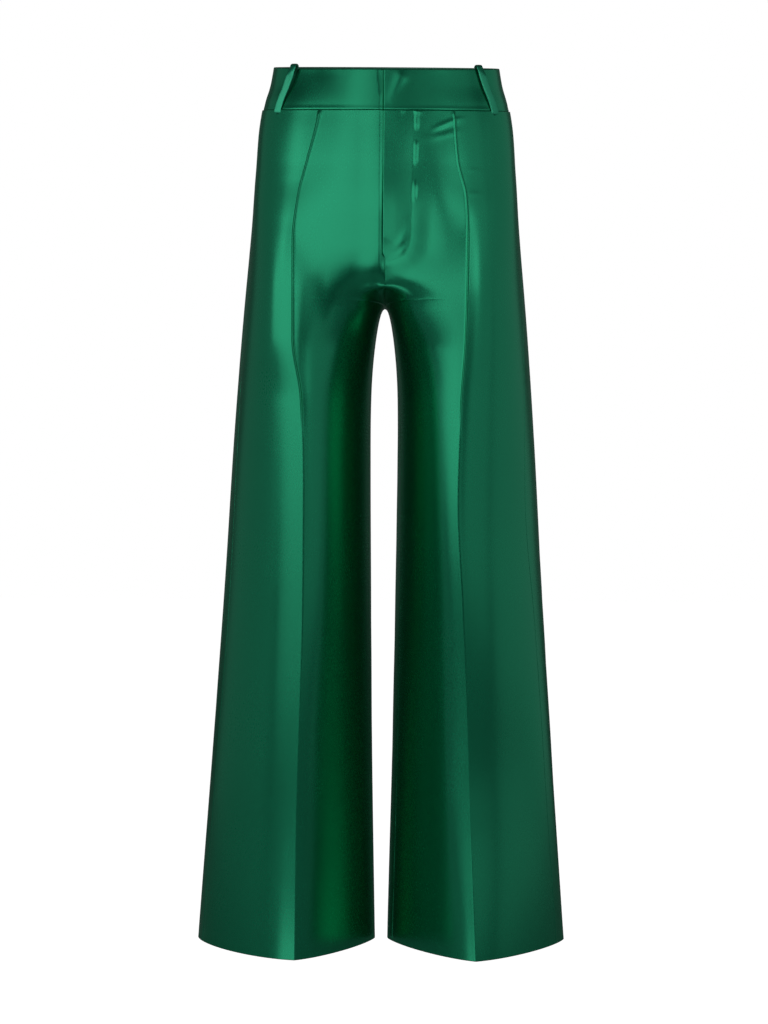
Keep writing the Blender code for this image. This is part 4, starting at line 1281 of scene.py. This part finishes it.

# %% [markdown]
# ## What each piece stands for
# Each piece replaces one solid and takes its finish from a named slot, and the size of its cut,
# without seam allowances, is printed. A piece's cut is as wide as its widest row and as long as its
# longest column, and its area is measured on the grid, because it tapers. The legs hang from the
# band, the band is stretched round the waist, and the loops are strips folded in three, of which a
# third shows.

# %% Pieces, nodes and slots
# piece, node, slot, how the cloth is held, what it hangs from or lies on
PIECES = (
    ("front_panel_right", "front_right", "panel_satin", "hung", ("band_front_right",)),
    ("front_panel_left", "front_left", "panel_satin", "hung", ("band_front_left",)),
    ("back_panel_right", "back_right", "panel_satin", "hung", ("band_back",)),
    ("back_panel_left", "back_left", "panel_satin", "hung", ("band_back",)),
    ("band_front_right", "waistband_front_right", "band_satin", "stretched", ()),
    ("band_front_left", "waistband_front_left", "band_satin", "stretched", ("band_front_right",)),
    ("band_back", "waistband_back", "band_satin", "stretched", ()),
    ("fly_shield_strip", "fly_shield", "inner_satin", "hung", ("band_front_right",)),
    ("pocket_strip_right", "pocket_facing_right", "inner_satin", "hung", ("band_front_right",)),
    ("pocket_strip_left", "pocket_facing_left", "inner_satin", "hung", ("band_front_left",)),
    ("loop_front_right", "belt_loop_front_right", "loop_satin", "folded", ("band_front_right",)),
    ("loop_front_left", "belt_loop_front_left", "loop_satin", "folded", ("band_front_left",)),
    ("loop_back_right", "belt_loop_back_right", "loop_satin", "folded", ("band_back",)),
    ("loop_back_left", "belt_loop_back_left", "loop_satin", "folded", ("band_back",)),
    ("loop_back_centre", "belt_loop_back_centre", "loop_satin", "folded", ("band_back",)),
)
for name, node, slot, held, rests_on in PIECES:
    piece = made[name]
    piece.data.materials.append(finishes[slot])
    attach(piece, "root")
    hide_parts(node)
    width, length, area = cut[name]
    width *= LOOP_LAYERS if held == "folded" else 1
    thread = [made["fly_thread"]] if name == "front_panel_left" else []
    print(f"{name}: cut {width:.3f} x {length:.3f} m, {area:.4f} m2")

thread = made["fly_thread"]
thread.data.materials.append(finishes["panel_satin"])
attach(thread, "root")

# %% [markdown]
# ## Light, floor and camera
# The photograph's main light is a very large soft box at the viewer's left. Satin shows such a
# box as a bright plateau wherever it faces half way towards it. Here it is an ellipse, because
# the plateaus in the photograph have round ends. Weaker cards in front, above and low down give
# the smaller plateaus, a fill lifts the right side, and pale walls beside and behind rim the
# edges. One sky would be simpler, but it has no edges for satin to show. The floor is plain and
# pale.

# %% Floor
FLOOR_Z = -1.22
FLOOR_HALF = 14
FLOOR_GREY = (0.40, 0.40, 0.40, 1)
WHITE = (1, 1, 1, 1)
corners = [(x * FLOOR_HALF, y * FLOOR_HALF, FLOOR_Z) for x, y in
           ((-1, -1), (1, -1), (1, 1), (-1, 1))]
floor_mesh = bpy.data.meshes.new("floor")
floor_mesh.from_pydata(corners, [], [(0, 1, 2, 3)])
floor = add("floor", floor_mesh)
pale = bpy.data.materials.new("pale floor")
pale.use_nodes = True
pale_shader = pale.node_tree.nodes["Principled BSDF"]
set_inputs(pale_shader, {"Base Color": FLOOR_GREY, "Roughness": 0.9, "Emission Color": WHITE})
floor_seen = pale.node_tree.nodes.new("ShaderNodeLightPath")
pale.node_tree.links.new(floor_seen.outputs["Is Camera Ray"],
                         pale_shader.inputs["Emission Strength"])
floor_mesh.materials.append(pale)
print("floor at", FLOOR_Z, "m, white to the camera and grey to the cloth")

# %% Lights
# name, shape, place, target, width and height, power
LIGHTS = (
    ("key", "ELLIPSE", (-1.94, -2.68, 0.52), (0, 0, -0.25), (6.8, 2.1), 28),
    ("front", "RECTANGLE", (1.46, -2.70, 0.66), (0, 0, -0.2), (1.47, 0.92), 3.3),
    ("upper left", "RECTANGLE", (-0.60, -3.0, 1.65), (0, 0, -0.05), (0.9, 0.9), 1.3),
    ("upper right", "RECTANGLE", (1.8, -2.4, 1.5), (0, 0, -0.05), (3.4, 1.2), 1.4),
    ("upper side", "RECTANGLE", (-2.74, -1.65, 1.38), (0, 0, -0.15), (1.0, 0.42), 0.8),
    ("low left", "RECTANGLE", (-1.9, -2.4, -0.76), (0, 0, -0.76), (3.0, 0.30), 1.3),
    ("low card", "RECTANGLE", (-0.25, -0.5, -1.2), (0, -0.1, -0.3), (0.5, 0.5), 0.5),
    ("fill", "RECTANGLE", (2.3, -1.7, 0.2), (0, 0, -0.3), (2.4, 2.4), 4.0),
    ("left wall", "RECTANGLE", (-2.9, 0.65, -0.1), (0, 0, -0.4), (3.7, 3.4), 5.0),
    ("right wall", "RECTANGLE", (2.8, 0.9, 0.0), (0, 0, -0.4), (3.4, 3.2), 7.0),
    ("back wall", "RECTANGLE", (0, 3.2, 0.2), (0, 0, -0.4), (4.0, 3.0), 1),
)
for name, shape, place, target, size, power in LIGHTS:
    data = bpy.data.lights.new(name, "AREA")
    data.shape = shape
    data.size, data.size_y = size
    data.energy = power
    light = add(name, data)
    light.location = place
    back = np.subtract(place, target) / np.linalg.norm(np.subtract(place, target))
    light.rotation_euler = (np.arccos(back[2]), 0, np.arctan2(back[0], -back[1]))
print("lights:", len(LIGHTS))

# %% White around, for the camera alone
GLOW = 0.05                     # what little the cloth gets from all round
world = bpy.data.worlds.new("studio")
bpy.context.scene.world = world
world.use_nodes = True
sky = world.node_tree
background = sky.nodes["Background"]
lit = sky.nodes.new("ShaderNodeBackground")
set_inputs(lit, {"Color": WHITE, "Strength": GLOW})
set_inputs(background, {"Color": WHITE, "Strength": 1.0})
seen = sky.nodes.new("ShaderNodeLightPath")
either = sky.nodes.new("ShaderNodeMixShader")
for out, into in ((seen.outputs["Is Camera Ray"], either.inputs["Fac"]),
                  (lit.outputs["Background"], either.inputs[1]),
                  (background.outputs["Background"], either.inputs[2]),
                  (either.outputs["Shader"], sky.nodes["World Output"].inputs["Surface"])):
    sky.links.new(out, into)
print("glow:", GLOW)

# %% Camera
CAMERA_PLACE = (0.0004, -2.8, -0.555)
CAMERA_ROLL = radians(-0.36)
LENS = 78.75
SENSOR = 36
camera_data = bpy.data.cameras.new("camera")
camera_data.lens = LENS
camera_data.sensor_width = SENSOR
camera = add("camera", camera_data)
camera.location = CAMERA_PLACE
camera.rotation_euler = (pi / 2, CAMERA_ROLL, 0)
bpy.context.scene.camera = camera
bpy.context.scene.view_settings.view_transform = "Standard"
print("camera", -CAMERA_PLACE[1], "m in front, lens", LENS, "mm")
